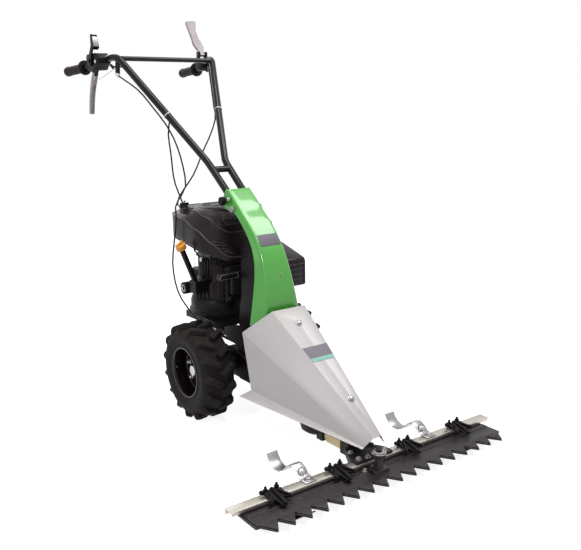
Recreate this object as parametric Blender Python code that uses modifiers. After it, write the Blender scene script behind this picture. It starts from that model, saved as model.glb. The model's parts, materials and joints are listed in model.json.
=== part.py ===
"""Meadow mower: a walk-behind motor scythe with a sickle bar, two driven wheels and a vertical-shaft engine.

Metres, +Z up. The machine faces -Y. Every piece hangs from the empty "machine", whose origin lies on the
ground under the wheel axle, so sizes along Y below are measured from the axle.
"""

import math

import bmesh
import bpy
from mathutils import Matrix, Vector

# Driving dimensions of the whole machine
TOOTH_PITCH = 0.0508
TOOTH_COUNT = 17
TOOTH_TIP_Y = -0.765
TOOTH_ROOT_Y = -0.727
RAIL_HALF_LENGTH = 0.470
RAIL_TOP = 0.045
WHEEL_RADIUS = 0.1605
WHEEL_WIDTH = 0.115
TRACK_CENTRE = 0.1825
GRIP_END_Y = 0.8229
MACHINE_Y = -0.02965

# Running gap between pieces that touch
GAP = 0.0003

# Wheels and axle
RIM_RADIUS = 0.0785
RIM_DISC = 0.012
LUGS_PER_SIDE = 15
LUG_ANGLE = math.radians(33)
LUG_PHASE = math.radians(-7.36)
LUG_TAPER = 0.72
AXLE_RADIUS = 0.0125
AXLE_TUBE_RADIUS = 0.030
WORM_WHEEL_RADIUS = 0.034
WORM_RADIUS = 0.010
WORM_Y = -(WORM_WHEEL_RADIUS + WORM_RADIUS + GAP)

# Engine: the crankshaft stands at ENGINE_Y
ENGINE_Y = 0.150
DECK_TOP = 0.302
CRANKSHAFT_RADIUS = 0.011
STARTER_RADIUS = 0.083
BLOWER_BASE_RADIUS = 0.083
ROPE_EYE = Vector((-0.035, 0.2785, 0.598))
STARTER_AXIS = Vector((0, 0.96, 0.28))
DIPSTICK_TOP = Vector((-0.176, 0.096, 0.547))
DIPSTICK_AXIS = Vector((-0.42, -0.154, 0.895)).normalized()

# Belts
BELT_WIDTH = 0.006
BELT_HEIGHT = 0.0075
KNIFE_BELT_Z = 0.222
WHEEL_BELT_Z = 0.242
ENGINE_GROOVE = 0.028
KNIFE_GROOVE = 0.043
WHEEL_GROOVE = 0.045
FLANGE_RISE = 0.007
FLANGE_THICKNESS = 0.002

# Knife drive
KNIFE_CRANK_Y = -0.400
CRANK_THROW = 0.029
LEVER_PIVOT_Y = -0.560
LEVER_REACH = 0.140
KNIFE_STROKE = TOOTH_PITCH
LEVER_SWING = math.asin(KNIFE_STROKE / 2 / LEVER_REACH)
LEVER_LOW = 0.078
LEVER_THICKNESS = 0.008
KNIFE_PIN_RADIUS = 0.008

# Frame
SIDE_PLATE_INNER = 0.0578
SIDE_PLATE_THICKNESS = 0.003

# Handlebar: one half, from the foot to the grip, as (half width, y, z)
TILT_Y = -0.025
TILT_Z = 0.678
TUBE_RADIUS = 0.0125
TUBE_BORE = 0.0105
CROSSBAR_RADIUS = 0.0085
LOWER_CROSS_RADIUS = 0.011
HANDLE_FOOT = (0.0285, -0.045, 0.663)
HANDLE_LOW_BEND = (0.034, 0.152, 0.818)
HANDLE_TOP_BEND = (0.191, 0.487, 1.176)
GRIP_START = (0.2323, 0.6766, 1.1428)
GRIP_END = (0.2449, GRIP_END_Y, 1.1331)
GRIP_RADIUS = 0.0165

# Levers: where each turns on the handlebar, as x and (y, z)
CLUTCH_X = -0.2300
CLUTCH_SPOT = (0.5890, 1.1170)
EAR_HALF = 0.0042
THROTTLE_SPOT = (0.5870, 1.1610)
LEFT_X = 0.2100
LEFT_SPOT = (0.5920, 1.1960)
LEFT_LEAN = math.atan2(0.125, 0.108)
# Side of the throttle lever's thumb pad
THROTTLE_PAD = (
    (0.5640, 1.2500),
    (0.5570, 1.2515),
    (0.5540, 1.2440),
    (0.5410, 1.2060),
    (0.5475, 1.2010),
    (0.5560, 1.1980),
    (0.5640, 1.2020),
)
# Outline of the left lever's blade: x from LEFT_X, then the distance from its pin
LEFT_BLADE = (
    (-0.0110, -0.0090),
    (0.0110, -0.0090),
    (0.0120, 0.0180),
    (0.0205, 0.0350),
    (0.0190, 0.0600),
    (0.0165, 0.0870),
    (0.0200, 0.1240),
    (0.0320, 0.1520),
    (0.0370, 0.1680),
    (0.0330, 0.1740),
    (-0.0030, 0.1720),
    (-0.0080, 0.1660),
    (-0.0110, 0.1240),
    (-0.0140, 0.0870),
    (-0.0190, 0.0500),
    (-0.0150, 0.0300),
    (-0.0115, 0.0180),
)

# Sheet thicknesses
HOOD_SHEET = 0.002
COVER_SHEET = 0.0025
COLUMN_SHEET = 0.003

# Front face (y, z, half width) and rear edge (y, z, half width) of the column cover, from top to bottom
COVER_SECTIONS = (
    ((0.012, 0.739, 0.0440), (0.030, 0.714, 0.0515)),
    ((-0.035, 0.700, 0.0452), (0.033, 0.680, 0.0520)),
    ((-0.060, 0.678, 0.0455), (-0.032, 0.668, 0.0515)),
    ((-0.112, 0.635, 0.0460), (-0.072, 0.640, 0.0520)),
    ((-0.159, 0.583, 0.0465), (-0.118, 0.598, 0.0550)),
    ((-0.186, 0.539, 0.0480), (-0.150, 0.552, 0.0590)),
    ((-0.206, 0.481, 0.0530), (-0.166, 0.496, 0.0650)),
    ((-0.220, 0.412, 0.0610), (-0.174, 0.415, 0.0790)),
    ((-0.2275, 0.336, 0.0700), (-0.180, 0.336, 0.0960)),
)

parts = None
cutters = None
machine = None
finishes = {}


def clear_scene():
    for found in list(bpy.data.objects):
        bpy.data.objects.remove(found, do_unlink=True)


def make_collections():
    global parts, cutters, machine
    parts = bpy.data.collections.new("meadow_mower")
    cutters = bpy.data.collections.new("cutters")
    for collection in (parts, cutters):
        bpy.context.scene.collection.children.link(collection)
    machine = bpy.data.objects.new("machine", None)
    machine.location = (0, MACHINE_Y, 0)
    parts.objects.link(machine)


def finish(name, colour, roughness, metallic):
    material = bpy.data.materials.new(name)
    material.use_nodes = True
    shader = material.node_tree.nodes["Principled BSDF"]
    shader.inputs["Base Color"].default_value = (*colour, 1)
    shader.inputs["Roughness"].default_value = roughness
    shader.inputs["Metallic"].default_value = metallic
    finishes[name] = material


def make_finishes():
    finish("green_paint", (0.115, 0.43, 0.07), 0.25, 0.0)
    finish("hood_paint", (0.58, 0.55, 0.55), 0.45, 0.3)
    finish("black_paint", (0.02, 0.018, 0.019), 0.35, 0.0)
    finish("black_gloss", (0.022, 0.014, 0.015), 0.15, 0.0)
    finish("engine_black", (0.02, 0.018, 0.018), 0.45, 0.0)
    finish("cast_iron", (0.09, 0.085, 0.085), 0.55, 0.8)
    finish("comb_steel", (0.075, 0.06, 0.065), 0.45, 0.7)
    finish("rail_zinc", (0.5, 0.47, 0.43), 0.35, 0.8)
    finish("bright_zinc", (0.72, 0.72, 0.73), 0.25, 0.9)
    finish("sleeve_brass", (0.5, 0.4, 0.2), 0.4, 0.7)
    finish("lever_alloy", (0.42, 0.38, 0.38), 0.35, 0.7)
    finish("shaft_steel", (0.55, 0.55, 0.56), 0.3, 0.9)
    finish("tyre_rubber", (0.03, 0.025, 0.023), 0.8, 0.0)
    finish("belt_rubber", (0.015, 0.015, 0.015), 0.75, 0.0)
    finish("grip_rubber", (0.028, 0.018, 0.02), 0.6, 0.0)
    finish("cap_yellow", (0.8, 0.32, 0.03), 0.4, 0.0)
    finish("cable_black", (0.01, 0.01, 0.01), 0.4, 0.0)


def place(name, mesh, finish_name):
    """Links a mesh or curve as an object of the machine."""
    made = bpy.data.objects.new(name, mesh)
    parts.objects.link(made)
    made.parent = machine
    if finish_name:
        mesh.materials.append(finishes[finish_name])
    return made


def box(name, low, high, finish_name=None, bevel=0.0, segments=1):
    """A box between two corners, with its own centre as origin."""
    low, high = Vector(low), Vector(high)
    build = bmesh.new()
    bmesh.ops.create_cube(build, size=1)
    bmesh.ops.scale(build, vec=high - low, verts=build.verts)
    mesh = bpy.data.meshes.new(name)
    build.to_mesh(mesh)
    build.free()
    made = place(name, mesh, finish_name)
    made.location = (low + high) / 2
    if bevel:
        soften(made, bevel, segments)
    return made


def soften(target, width, segments=1, angle=40):
    rounding = target.modifiers.new("rounded_edges", "BEVEL")
    rounding.width = width
    rounding.segments = segments
    rounding.limit_method = "ANGLE"
    rounding.angle_limit = math.radians(angle)
    return rounding


def rod(name, start, end, radius, finish_name=None, sides=16, end_radius=None, turn=0.0):
    """A cylinder or cone from start to end."""
    start, end = Vector(start), Vector(end)
    length = (end - start).length
    build = bmesh.new()
    bmesh.ops.create_cone(
        build,
        cap_ends=True,
        segments=sides,
        radius1=radius,
        radius2=radius if end_radius is None else end_radius,
        depth=length,
    )
    mesh = bpy.data.meshes.new(name)
    build.to_mesh(mesh)
    build.free()
    made = place(name, mesh, finish_name)
    made.location = (start + end) / 2
    aim = (end - start).to_track_quat("Z", "Y") @ Matrix.Rotation(turn, 3, "Z").to_quaternion()
    made.rotation_mode = "QUATERNION"
    made.rotation_quaternion = aim
    if sides > 8:
        shade(made)
    return made


def shade(target, angle=35):
    target.data.shade_smooth()
    target.data.set_sharp_from_angle(angle=math.radians(angle))


def turned(name, profile, centre, axis="Z", finish_name=None, steps=24, closed=False):
    """A turned shape: profile is (radius, height) down its outer side."""
    mesh = bpy.data.meshes.new(name)
    points = [(radius, 0, height) for radius, height in profile]
    edges = [(i, i + 1) for i in range(len(points) - 1)]
    if closed:
        edges.append((len(points) - 1, 0))
    mesh.from_pydata(points, edges, [])
    made = place(name, mesh, finish_name)
    screw = made.modifiers.new("turn", "SCREW")
    screw.steps = steps
    screw.render_steps = steps
    screw.use_merge_vertices = True
    screw.merge_threshold = 0.00005
    screw.use_smooth_shade = False
    made.location = centre
    directions = {"Z": (0, 0, 1), "X": (1, 0, 0), "-X": (-1, 0, 0), "Y": (0, 1, 0), "-Y": (0, -1, 0)}
    aim = Vector(directions[axis]) if isinstance(axis, str) else Vector(axis)
    made.rotation_mode = "QUATERNION"
    made.rotation_quaternion = aim.to_track_quat("Z", "Y")
    return made


def as_mesh(source):
    """Turns a curve or a modified object into a plain mesh object with welded caps."""
    bpy.context.view_layer.update()
    graph = bpy.context.evaluated_depsgraph_get()
    mesh = bpy.data.meshes.new_from_object(source.evaluated_get(graph))
    name = source.name
    build = bmesh.new()
    build.from_mesh(mesh)
    bmesh.ops.remove_doubles(build, verts=build.verts, dist=0.00002)
    build.to_mesh(mesh)
    build.free()
    owner = source.users_collection[0]
    world = source.matrix_world.copy()
    bpy.data.objects.remove(source, do_unlink=True)
    mesh.name = name
    made = bpy.data.objects.new(name, mesh)
    owner.objects.link(made)
    made.parent = machine
    made.matrix_world = world
    return made


def tube(name, route, radius, finish_name=None, resolution=3, loop=False):
    """A round bar along a list of points."""
    curve = bpy.data.curves.new(name, "CURVE")
    curve.dimensions = "3D"
    curve.bevel_depth = radius
    curve.bevel_resolution = resolution
    curve.use_fill_caps = True
    spline = curve.splines.new("POLY")
    spline.points.add(len(route) - 1)
    for point, spot in zip(spline.points, route):
        point.co = (*spot, 1)
    spline.use_cyclic_u = loop
    return place(name, curve, finish_name)


def plate(name, outlines, thickness, finish_name=None, plane="XY", level=0.0):
    """A flat plate: the first outline is its edge, later ones are holes. level is where its middle lies."""
    curve = bpy.data.curves.new(name, "CURVE")
    curve.dimensions = "2D"
    curve.fill_mode = "BOTH"
    curve.extrude = thickness / 2
    for outline in outlines:
        spline = curve.splines.new("POLY")
        spline.points.add(len(outline) - 1)
        for point, spot in zip(spline.points, outline):
            point.co = (*spot, 0, 1)
        spline.use_cyclic_u = True
    made = place(name, curve, finish_name)
    if plane == "XY":
        made.location = (0, 0, level)
    elif plane == "YZ":
        made.rotation_euler = (math.pi / 2, 0, math.pi / 2)
        made.location = (level, 0, 0)
    made = as_mesh(made)
    if len(outlines) == 1:
        build = bmesh.new()
        build.from_mesh(made.data)
        bmesh.ops.dissolve_limit(build, angle_limit=0.002, verts=build.verts, edges=build.edges)
        build.to_mesh(made.data)
        build.free()
    return made


def strip(name, profile, centre_x, width, thickness, finish_name=None):
    """Flat bar bent in the YZ plane: profile is the middle line of its section."""
    build = bmesh.new()
    points = [build.verts.new((-width / 2, y, z)) for y, z in profile]
    edges = [build.edges.new(pair) for pair in zip(points[:-1], points[1:])]
    swept = bmesh.ops.extrude_edge_only(build, edges=edges)
    moved = [item for item in swept["geom"] if isinstance(item, bmesh.types.BMVert)]
    bmesh.ops.translate(build, verts=moved, vec=(width, 0, 0))
    bmesh.ops.recalc_face_normals(build, faces=build.faces)
    mesh = bpy.data.meshes.new(name)
    build.to_mesh(mesh)
    build.free()
    made = place(name, mesh, finish_name)
    made.location = (centre_x, 0, 0)
    wall = made.modifiers.new("thickness", "SOLIDIFY")
    wall.thickness = thickness
    wall.offset = 0
    wall.use_even_offset = True
    return made


def helper(made):
    """Moves a helper solid among the cutters, out of the part."""
    for collection in list(made.users_collection):
        collection.objects.unlink(made)
    cutters.objects.link(made)
    made.hide_render = True
    made.display_type = "WIRE"
    return made


def combine(target, others, operation):
    for other in others:
        helper(other)
        step = target.modifiers.new(operation.lower(), "BOOLEAN")
        step.operation = operation
        step.object = other
        step.solver = "EXACT"
    return target


def unite(target, *others):
    return combine(target, others, "UNION")


def cut(target, *others):
    return combine(target, others, "DIFFERENCE")


def pivot(name, spot):
    """An empty on a joint's axis; the pieces that turn with it hang from it."""
    empty = bpy.data.objects.new(name, None)
    empty.empty_display_size = 0.03
    empty.location = spot
    empty.parent = machine
    parts.objects.link(empty)
    return empty


def hang(empty, *pieces):
    for piece in pieces:
        piece.location = piece.location - empty.location
        piece.parent = empty


def circle(centre, radius, count, start=0.0):
    """Points round a circle in a plate's own plane."""
    angles = [start + 2 * math.pi * i / count for i in range(count)]
    return [(centre[0] + radius * math.cos(a), centre[1] + radius * math.sin(a)) for a in angles]


def bend(points, radius, steps=4):
    """Replaces each inner corner of a route by an arc."""
    route = [Vector(points[0])]
    for before, corner, after in zip(points[:-2], points[1:-1], points[2:]):
        before, corner, after = Vector(before), Vector(corner), Vector(after)
        one, two = (before - corner).normalized(), (after - corner).normalized()
        half = one.angle(two) / 2
        back = radius / math.tan(half)
        centre = corner + (one + two).normalized() * radius / math.sin(half)
        first, last = corner + one * back - centre, corner + two * back - centre
        for i in range(steps + 1):
            route.append(centre + first.slerp(last, i / steps).normalized() * radius)
    route.append(Vector(points[-1]))
    return route


def smooth(points, count):
    """A smooth curve through the points, read off at count + 1 even places."""
    points = [Vector(p) for p in points]
    padded = [2 * points[0] - points[1], *points, 2 * points[-1] - points[-2]]
    fine = []
    for a, b, c, d in zip(padded, padded[1:], padded[2:], padded[3:]):
        for i in range(12):
            t = i / 12
            square = (2 * a - 5 * b + 4 * c - d) * t**2
            cube = (3 * b - a - 3 * c + d) * t**3
            fine.append(0.5 * (2 * b + (c - a) * t + square + cube))
    fine.append(points[-1])
    lengths = [0.0]
    for a, b in zip(fine, fine[1:]):
        lengths.append(lengths[-1] + (b - a).length)
    even = []
    place_at = 0
    for i in range(count + 1):
        wanted = lengths[-1] * i / count
        while place_at < len(fine) - 2 and lengths[place_at + 1] < wanted:
            place_at += 1
        share = (wanted - lengths[place_at]) / (lengths[place_at + 1] - lengths[place_at])
        even.append(fine[place_at].lerp(fine[place_at + 1], min(share, 1.0)))
    return even


def loft(name, sections, thickness, finish_name):
    """A sheet through rows of points, thickened on its inner side."""
    build = bmesh.new()
    rows = [[build.verts.new(spot) for spot in section] for section in sections]
    for upper, lower in zip(rows[:-1], rows[1:]):
        for i in range(len(upper) - 1):
            build.faces.new((upper[i], lower[i], lower[i + 1], upper[i + 1]))
    mesh = bpy.data.meshes.new(name)
    build.to_mesh(mesh)
    build.free()
    made = place(name, mesh, finish_name)
    wall = made.modifiers.new("sheet", "SOLIDIFY")
    wall.thickness = thickness
    wall.offset = -1
    wall.use_even_offset = True
    wall.use_quality_normals = True
    return made


def mirror_x(spot, side):
    return (side * spot[0], spot[1], spot[2])


# Wheels and drive to the wheels


def make_tyre(name, centre):
    bead = RIM_RADIUS + 0.0009
    half = WHEEL_WIDTH / 2
    outer = ((bead, half - 0.009), (0.100, half - 0.002), (0.120, half - 0.0005), (0.135, half - 0.0055))
    outer += ((0.1425, half - 0.0175), (0.1440, 0.0))
    inner = ((bead, half - 0.016), (0.104, half - 0.009), (0.131, half - 0.0165), (0.1365, 0.0))
    profile = list(outer) + [(r, -h) for r, h in reversed(outer[:-1])]
    profile += [(r, -h) for r, h in inner] + list(reversed(inner[:-1]))
    tyre = turned(name, profile, centre, "X", "tyre_rubber", steps=24, closed=True)
    lug_length, lug_half, lug_low = 0.056, 0.0115, 0.1335
    reach = math.sin(LUG_ANGLE) * lug_length / 2
    lug_top = math.sqrt(WHEEL_RADIUS**2 - (reach + LUG_TAPER * lug_half * math.cos(LUG_ANGLE)) ** 2)
    build = bmesh.new()
    for hand in (-1, 1):
        for i in range(LUGS_PER_SIDE):
            angle = LUG_PHASE + 2 * math.pi * (i + (hand > 0) / 2) / LUGS_PER_SIDE
            made = bmesh.ops.create_cube(build, size=1)["verts"]
            bmesh.ops.scale(build, vec=(lug_length, lug_half * 2, lug_top - lug_low), verts=made)
            for corner in made:
                if corner.co.z > 0:
                    corner.co.y *= LUG_TAPER
                    if corner.co.x * hand > 0:
                        corner.co.z -= 0.008
            lean = Matrix.Rotation(hand * LUG_ANGLE, 4, "Z")
            out = Matrix.Translation((hand * (lug_length / 2 - 0.001), 0, (lug_top + lug_low) / 2))
            around = Matrix.Rotation(angle, 4, "X")
            bmesh.ops.transform(build, matrix=around @ out @ lean, verts=made)
    mesh = bpy.data.meshes.new(name + "_lugs")
    build.to_mesh(mesh)
    build.free()
    lugs = place(name + "_lugs", mesh, None)
    lugs.location = centre
    return unite(tyre, lugs)


def make_rim(name, side, centre):
    edge = WHEEL_WIDTH / 2 - 0.004
    inside = RIM_RADIUS - 0.002
    flange = RIM_RADIUS + 0.005
    profile = (
        (flange, edge),
        (flange, edge - 0.0024),
        (RIM_RADIUS, edge - 0.003),
        (RIM_RADIUS, 0.003 - edge),
        (flange, 0.0024 - edge),
        (flange, -edge),
        (inside, -edge),
        (inside, -0.006),
        (0.064, -0.006),
        (0.054, RIM_DISC - 0.006),
        (AXLE_RADIUS + GAP, RIM_DISC - 0.006),
        (AXLE_RADIUS + GAP, RIM_DISC),
        (0.056, RIM_DISC),
        (0.066, 0.0),
        (inside, 0.0),
        (inside, edge),
    )
    outward = "X" if side > 0 else "-X"
    rim = turned(name, profile, centre, outward, "black_gloss", steps=20, closed=True)
    bolts = []
    for y, z in circle((0, 0), 0.043, 5, math.pi / 2 + 0.11):
        spot = Vector((centre[0] + side * RIM_DISC, y, centre[2] + z))
        out = Vector((side * 0.006, 0, 0))
        bolts.append(rod(name + "_bolt", spot - out / 2, spot + out, 0.0065, sides=6))
    return unite(rim, *bolts)


def make_wheels():
    axle_line = pivot("wheel_axle_line", (0, 0, WHEEL_RADIUS))
    disc_outer = TRACK_CENTRE + RIM_DISC
    half = (
        (0.017, disc_outer + 0.013),
        (0.017, disc_outer + GAP),
        (AXLE_RADIUS, disc_outer + GAP),
        (AXLE_RADIUS, disc_outer - 0.006 - GAP),
        (0.020, disc_outer - 0.006 - GAP),
        (0.020, 0.1485),
        (AXLE_RADIUS, 0.1485),
    )
    profile = [(0, half[0][1])] + list(half) + [(r, -x) for r, x in reversed(half)] + [(0, -half[0][1])]
    axle = turned("axle_shaft", profile, (0, 0, WHEEL_RADIUS), "X", "shaft_steel", steps=16)
    teeth = 24
    outline = []
    for i in range(teeth):
        for share, radius in ((-0.3, -0.004), (-0.14, 0.0), (0.14, 0.0), (0.3, -0.004)):
            angle = 2 * math.pi * (i + share) / teeth
            radius += WORM_WHEEL_RADIUS
            outline.append((radius * math.cos(angle), WHEEL_RADIUS + radius * math.sin(angle)))
    bore = circle((0, WHEEL_RADIUS), AXLE_RADIUS + GAP, 16)
    gear = plate("worm_wheel", [outline, bore], 0.014, "sleeve_brass", "YZ")
    hang(axle_line, axle, gear)
    for side, word in ((-1, "right"), (1, "left")):
        centre = Vector((side * TRACK_CENTRE, 0, WHEEL_RADIUS))
        hang(
            axle_line,
            make_tyre(f"tyre_{word}", centre),
            make_rim(f"rim_{word}", side, centre),
        )


def make_gearbox():
    half, wall = SIDE_PLATE_INNER - GAP, 0.008
    low, high = (-half, -0.110, 0.114), (half, 0.050, 0.203)
    case = box("gearbox", low, high, "black_paint")
    soften(case, 0.008, 2)
    tubes = rod("axle_tube", (-0.148, 0, WHEEL_RADIUS), (0.148, 0, WHEEL_RADIUS), AXLE_TUBE_RADIUS, sides=20)
    rib = box("gearbox_rib", (-0.070, -0.010, 0.145), (0.070, 0.010, 0.199))
    unite(case, tubes, rib)
    hollow = box(
        "gearbox_hollow",
        (low[0] + wall + 0.010, low[1] + 0.030, low[2] + wall),
        (high[0] - wall - 0.010, high[1] - wall, high[2] - wall),
    )
    bore = rod("axle_bore", (-0.2, 0, WHEEL_RADIUS), (0.2, 0, WHEEL_RADIUS), AXLE_RADIUS + 0.0005, sides=16)
    inlet = rod("worm_bore", (0, WORM_Y, 0.18), (0, WORM_Y, 0.25), 0.0090, sides=16)
    return cut(case, hollow, bore, inlet)


def pulley_groove(z, groove):
    """The (radius, height) points of one groove, from its top flange down."""
    rise = groove + FLANGE_RISE
    half = BELT_HEIGHT / 2 + 0.001
    upper = [(rise, z + half + FLANGE_THICKNESS), (rise, z + half), (groove, z + half)]
    return upper + [(groove, z - half), (rise, z - half), (rise, z - half - FLANGE_THICKNESS)]


def make_worm_shaft():
    top = WHEEL_BELT_Z
    profile = [(0, top + 0.012), (0.012, top + 0.012), (0.012, top + 0.0068)]
    profile += pulley_groove(top, WHEEL_GROOVE)
    profile += [(0.0085, top - 0.0068), (0.0085, 0.188)]
    profile += [(WORM_RADIUS, 0.188), (WORM_RADIUS, 0.134), (0, 0.134)]
    shaft = turned("worm_shaft", profile, (0, WORM_Y, 0), "Z", "shaft_steel", steps=24)
    hang(pivot("worm_line", (0, WORM_Y, 0.2)), shaft)


def belt_outline(centre_one, radius_one, centre_two, radius_two, count=14):
    """The closed line round two pulleys on the Y axis; the first has the larger y."""
    gap = centre_one - centre_two
    lean = math.asin((radius_one - radius_two) / gap)
    points = []
    for i in range(count + 1):
        angle = -lean + (math.pi + 2 * lean) * i / count
        points.append((radius_one * math.cos(angle), centre_one + radius_one * math.sin(angle)))
    for i in range(count + 1):
        angle = math.pi + lean + (math.pi - 2 * lean) * i / count
        points.append((radius_two * math.cos(angle), centre_two + radius_two * math.sin(angle)))
    return points


def make_belt(name, z, far_y, far_groove):
    clear = 0.0006
    loops = []
    for extra in (BELT_WIDTH, 0.0):
        one, two = ENGINE_GROOVE + clear + extra, far_groove + clear + extra
        loops.append(belt_outline(ENGINE_Y, one, far_y, two))
    return plate(name, loops, BELT_HEIGHT, "belt_rubber", "XY", z)


# Frame


def make_main_frame():
    inner, thick = SIDE_PLATE_INNER, SIDE_PLATE_THICKNESS
    side = (
        (0.200, 0.3005),
        (-0.040, 0.3005),
        (-0.120, 0.272),
        (-0.300, 0.236),
        (-0.435, 0.205),
        (-0.435, 0.118),
        (-0.300, 0.122),
        (-0.125, 0.128),
        (-0.118, 0.118),
        (-0.055, 0.118),
        (-0.047, 0.230),
        (0.066, 0.2535),
        (0.150, 0.279),
        (0.200, 0.289),
    )
    frame = box("main_frame", (-0.105, -0.035, 0.298), (0.105, 0.218, DECK_TOP), "black_paint")
    sides = []
    for hand in (-1, 1):
        level = hand * (inner + thick / 2)
        sides.append(plate("frame_side", [side], thick, None, "YZ", level))
        lip = ((0.218, 0.300), (-0.035, 0.300), (-0.035, 0.286), (0.218, 0.280))
        sides.append(plate("deck_lip", [lip], thick, None, "YZ", hand * 0.1035))
    reach = inner + 0.001
    floor = box("frame_floor", (-reach, -0.340, 0.196), (reach, -0.190, 0.199))
    bridge = box("frame_bridge", (-reach, -0.150, 0.1315), (reach, -0.112, 0.1345))
    anchor = box("cable_anchor", (-0.084, -0.172, 0.184), (-0.0600, -0.1612, 0.202))
    unite(frame, *sides, floor, bridge, anchor)
    holes = [rod("shaft_hole", (0, ENGINE_Y, 0.29), (0, ENGINE_Y, 0.31), 0.020, sides=20)]
    holes.append(rod("idler_hole", (-0.008, -0.300, 0.19), (-0.008, -0.300, 0.205), 0.0048, sides=12))
    return cut(frame, *holes)


def column_row(front, rear, corner, drop=0.0):
    """One row of points round the front of the column, from its left rear edge to its right one."""
    y, z, half = front
    back_y, back_z, back_half = rear
    return [
        (-back_half, back_y, back_z - drop),
        (-half, y + corner, z),
        (-half + corner * 0.3, y + corner * 0.3, z),
        (-half + corner, y, z),
        (half - corner, y, z),
        (half - corner * 0.3, y + corner * 0.3, z),
        (half, y + corner, z),
        (back_half, back_y, back_z - drop),
    ]


def make_column_cover():
    rows = [column_row(front, rear, 0.010) for front, rear in COVER_SECTIONS]
    cover = loft("column_cover", rows, COVER_SHEET, "green_paint")
    bolts = rod("ear_bore", (-0.1, 0.018, 0.702), (0.1, 0.018, 0.702), 0.0048, sides=12)
    low_bolt = rod("ear_bore_low", (-0.1, TILT_Y, TILT_Z), (0.1, TILT_Y, TILT_Z), 0.0060, sides=12)
    return cut(cover, bolts, low_bolt)


def make_column_frame():
    """Folded steel column inside the cover, with a narrow tongue between the handlebar tubes."""
    inset = COVER_SHEET + 0.0015
    rows = []
    rear_line = ((-0.062, 0.605), (-0.058, 0.545), (-0.062, 0.490), (-0.074, 0.412), (-0.070, 0.336))
    for (front, _), (back_y, back_z) in zip(COVER_SECTIONS[4:], rear_line):
        y, z, half = front
        half = min(half - inset, SIDE_PLATE_INNER + SIDE_PLATE_THICKNESS + 0.0033)
        rows.append(column_row((y + inset, z, half), (back_y, back_z, half), 0.010))
    foot = SIDE_PLATE_INNER + SIDE_PLATE_THICKNESS + GAP + COLUMN_SHEET
    for z, front_y, back_y in ((0.300, -0.2235, -0.066), (0.2300, -0.2235, -0.072)):
        rows.append(column_row((front_y, z, foot), (back_y, z, foot), 0.010))
    column = loft("column_frame", rows, COLUMN_SHEET, "black_paint")
    tongue = strip(
        "tongue",
        ((-0.130, 0.560), (-0.085, 0.612), (-0.030, 0.668), (0.022, 0.704)),
        0,
        0.030,
        0.018,
    )
    cap = box("column_cap", (-0.0405, -0.150, 0.5665), (0.0405, -0.0605, 0.5705))
    unite(column, cap, tongue)
    tilt = rod("tilt_bore", (-0.1, TILT_Y, TILT_Z), (0.1, TILT_Y, TILT_Z), 0.0062, sides=12)
    slots = []
    for hand in (-1, 1):
        one, two = sorted((hand * (SIDE_PLATE_INNER - GAP), hand * (foot - COLUMN_SHEET)))
        slots.append(box("side_plate_slot", (one, -0.26, 0.22), (two, -0.205, 0.258)))
    return cut(column, tilt, *slots)


def make_pivot_bolt():
    """The bolt that the handlebar turns on, with its nut fused on."""
    reach, end = 0.0520, 0.0575
    right, left = (-reach, TILT_Y, TILT_Z), (reach, TILT_Y, TILT_Z)
    bolt = rod("handlebar_pivot_bolt", right, left, 0.0057, "bright_zinc", 12)
    head = rod("pivot_head", (-end, TILT_Y, TILT_Z), right, 0.0105, sides=6)
    nut = rod("pivot_nut", left, (end, TILT_Y, TILT_Z), 0.0105, sides=6)
    return unite(bolt, head, nut)


# Hood: right half, as (half width, y, z)
RIDGE_REAR = (0.062, -0.254, 0.391)
RIDGE_FRONT = (0.0150, -0.664, 0.113)
SHOULDER_REAR = (0.132, -0.1914, 0.3228)
NOSE_LOW = (0.035, -0.6488, 0.0865)
CREASE_REAR = (0.145, -0.2555, 0.1580)
CREASE_FRONT = (0.0375, -0.6488, 0.0845)
FLANGE_REAR = (0.188, -0.2568, 0.1502)
FLANGE_FRONT = (0.0420, -0.6488, 0.0830)


def make_hood():
    """Folded sheet: narrow top, two facets a side and a flared flange, from wide rear to narrow nose."""
    rear = [RIDGE_REAR, SHOULDER_REAR, CREASE_REAR, FLANGE_REAR]
    front = [RIDGE_FRONT, NOSE_LOW, CREASE_FRONT, FLANGE_FRONT]
    rear_row = [mirror_x(p, -1) for p in reversed(rear)] + rear
    front_row = [mirror_x(p, -1) for p in reversed(front)] + front
    hood = loft("hood", [rear_row, front_row], HOOD_SHEET, "hood_paint")
    holes = []
    for y in (-0.306, -0.552):
        foot = Vector((0, y, hood_height(y)))
        half = hood_normal() * 0.01
        holes.append(rod("hood_hole", foot - half, foot + half, 0.0042, sides=12))
    return cut(hood, *holes)


def hood_slope():
    return (RIDGE_REAR[2] - RIDGE_FRONT[2]) / (RIDGE_REAR[1] - RIDGE_FRONT[1])


def hood_height(y):
    """Height of the hood's top face on the middle line."""
    return RIDGE_REAR[2] + (y - RIDGE_REAR[1]) * hood_slope()


def hood_normal():
    return Vector((0, -hood_slope(), 1)).normalized()


def make_hood_bracket():
    """Bent strip under the hood's top, with the two bolts that hold the hood."""
    drop = HOOD_SHEET * 1.25 + 0.0030
    lines = [(-0.2258, 0.240), (-0.2258, 0.322), (-0.2420, 0.336)]
    lines += [(-0.2420, hood_height(-0.2420) - drop - 0.010)]
    lines += [(-0.262, hood_height(-0.262) - drop), (-0.600, hood_height(-0.600) - drop)]
    bracket = strip("hood_bracket", lines, 0, 0.024, 0.003, "black_paint")
    pieces = []
    for y in (-0.306, -0.552):
        foot = Vector((0, y, hood_height(y)))
        out = hood_normal()
        pieces.append(rod("hood_stud", foot - out * 0.008, foot + out * 0.004, 0.0036, sides=10))
        pieces.append(rod("hood_nut", foot + out * 0.0005, foot + out * 0.0055, 0.0075, sides=6))
    return unite(bracket, *pieces)


# Knife drive


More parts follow.
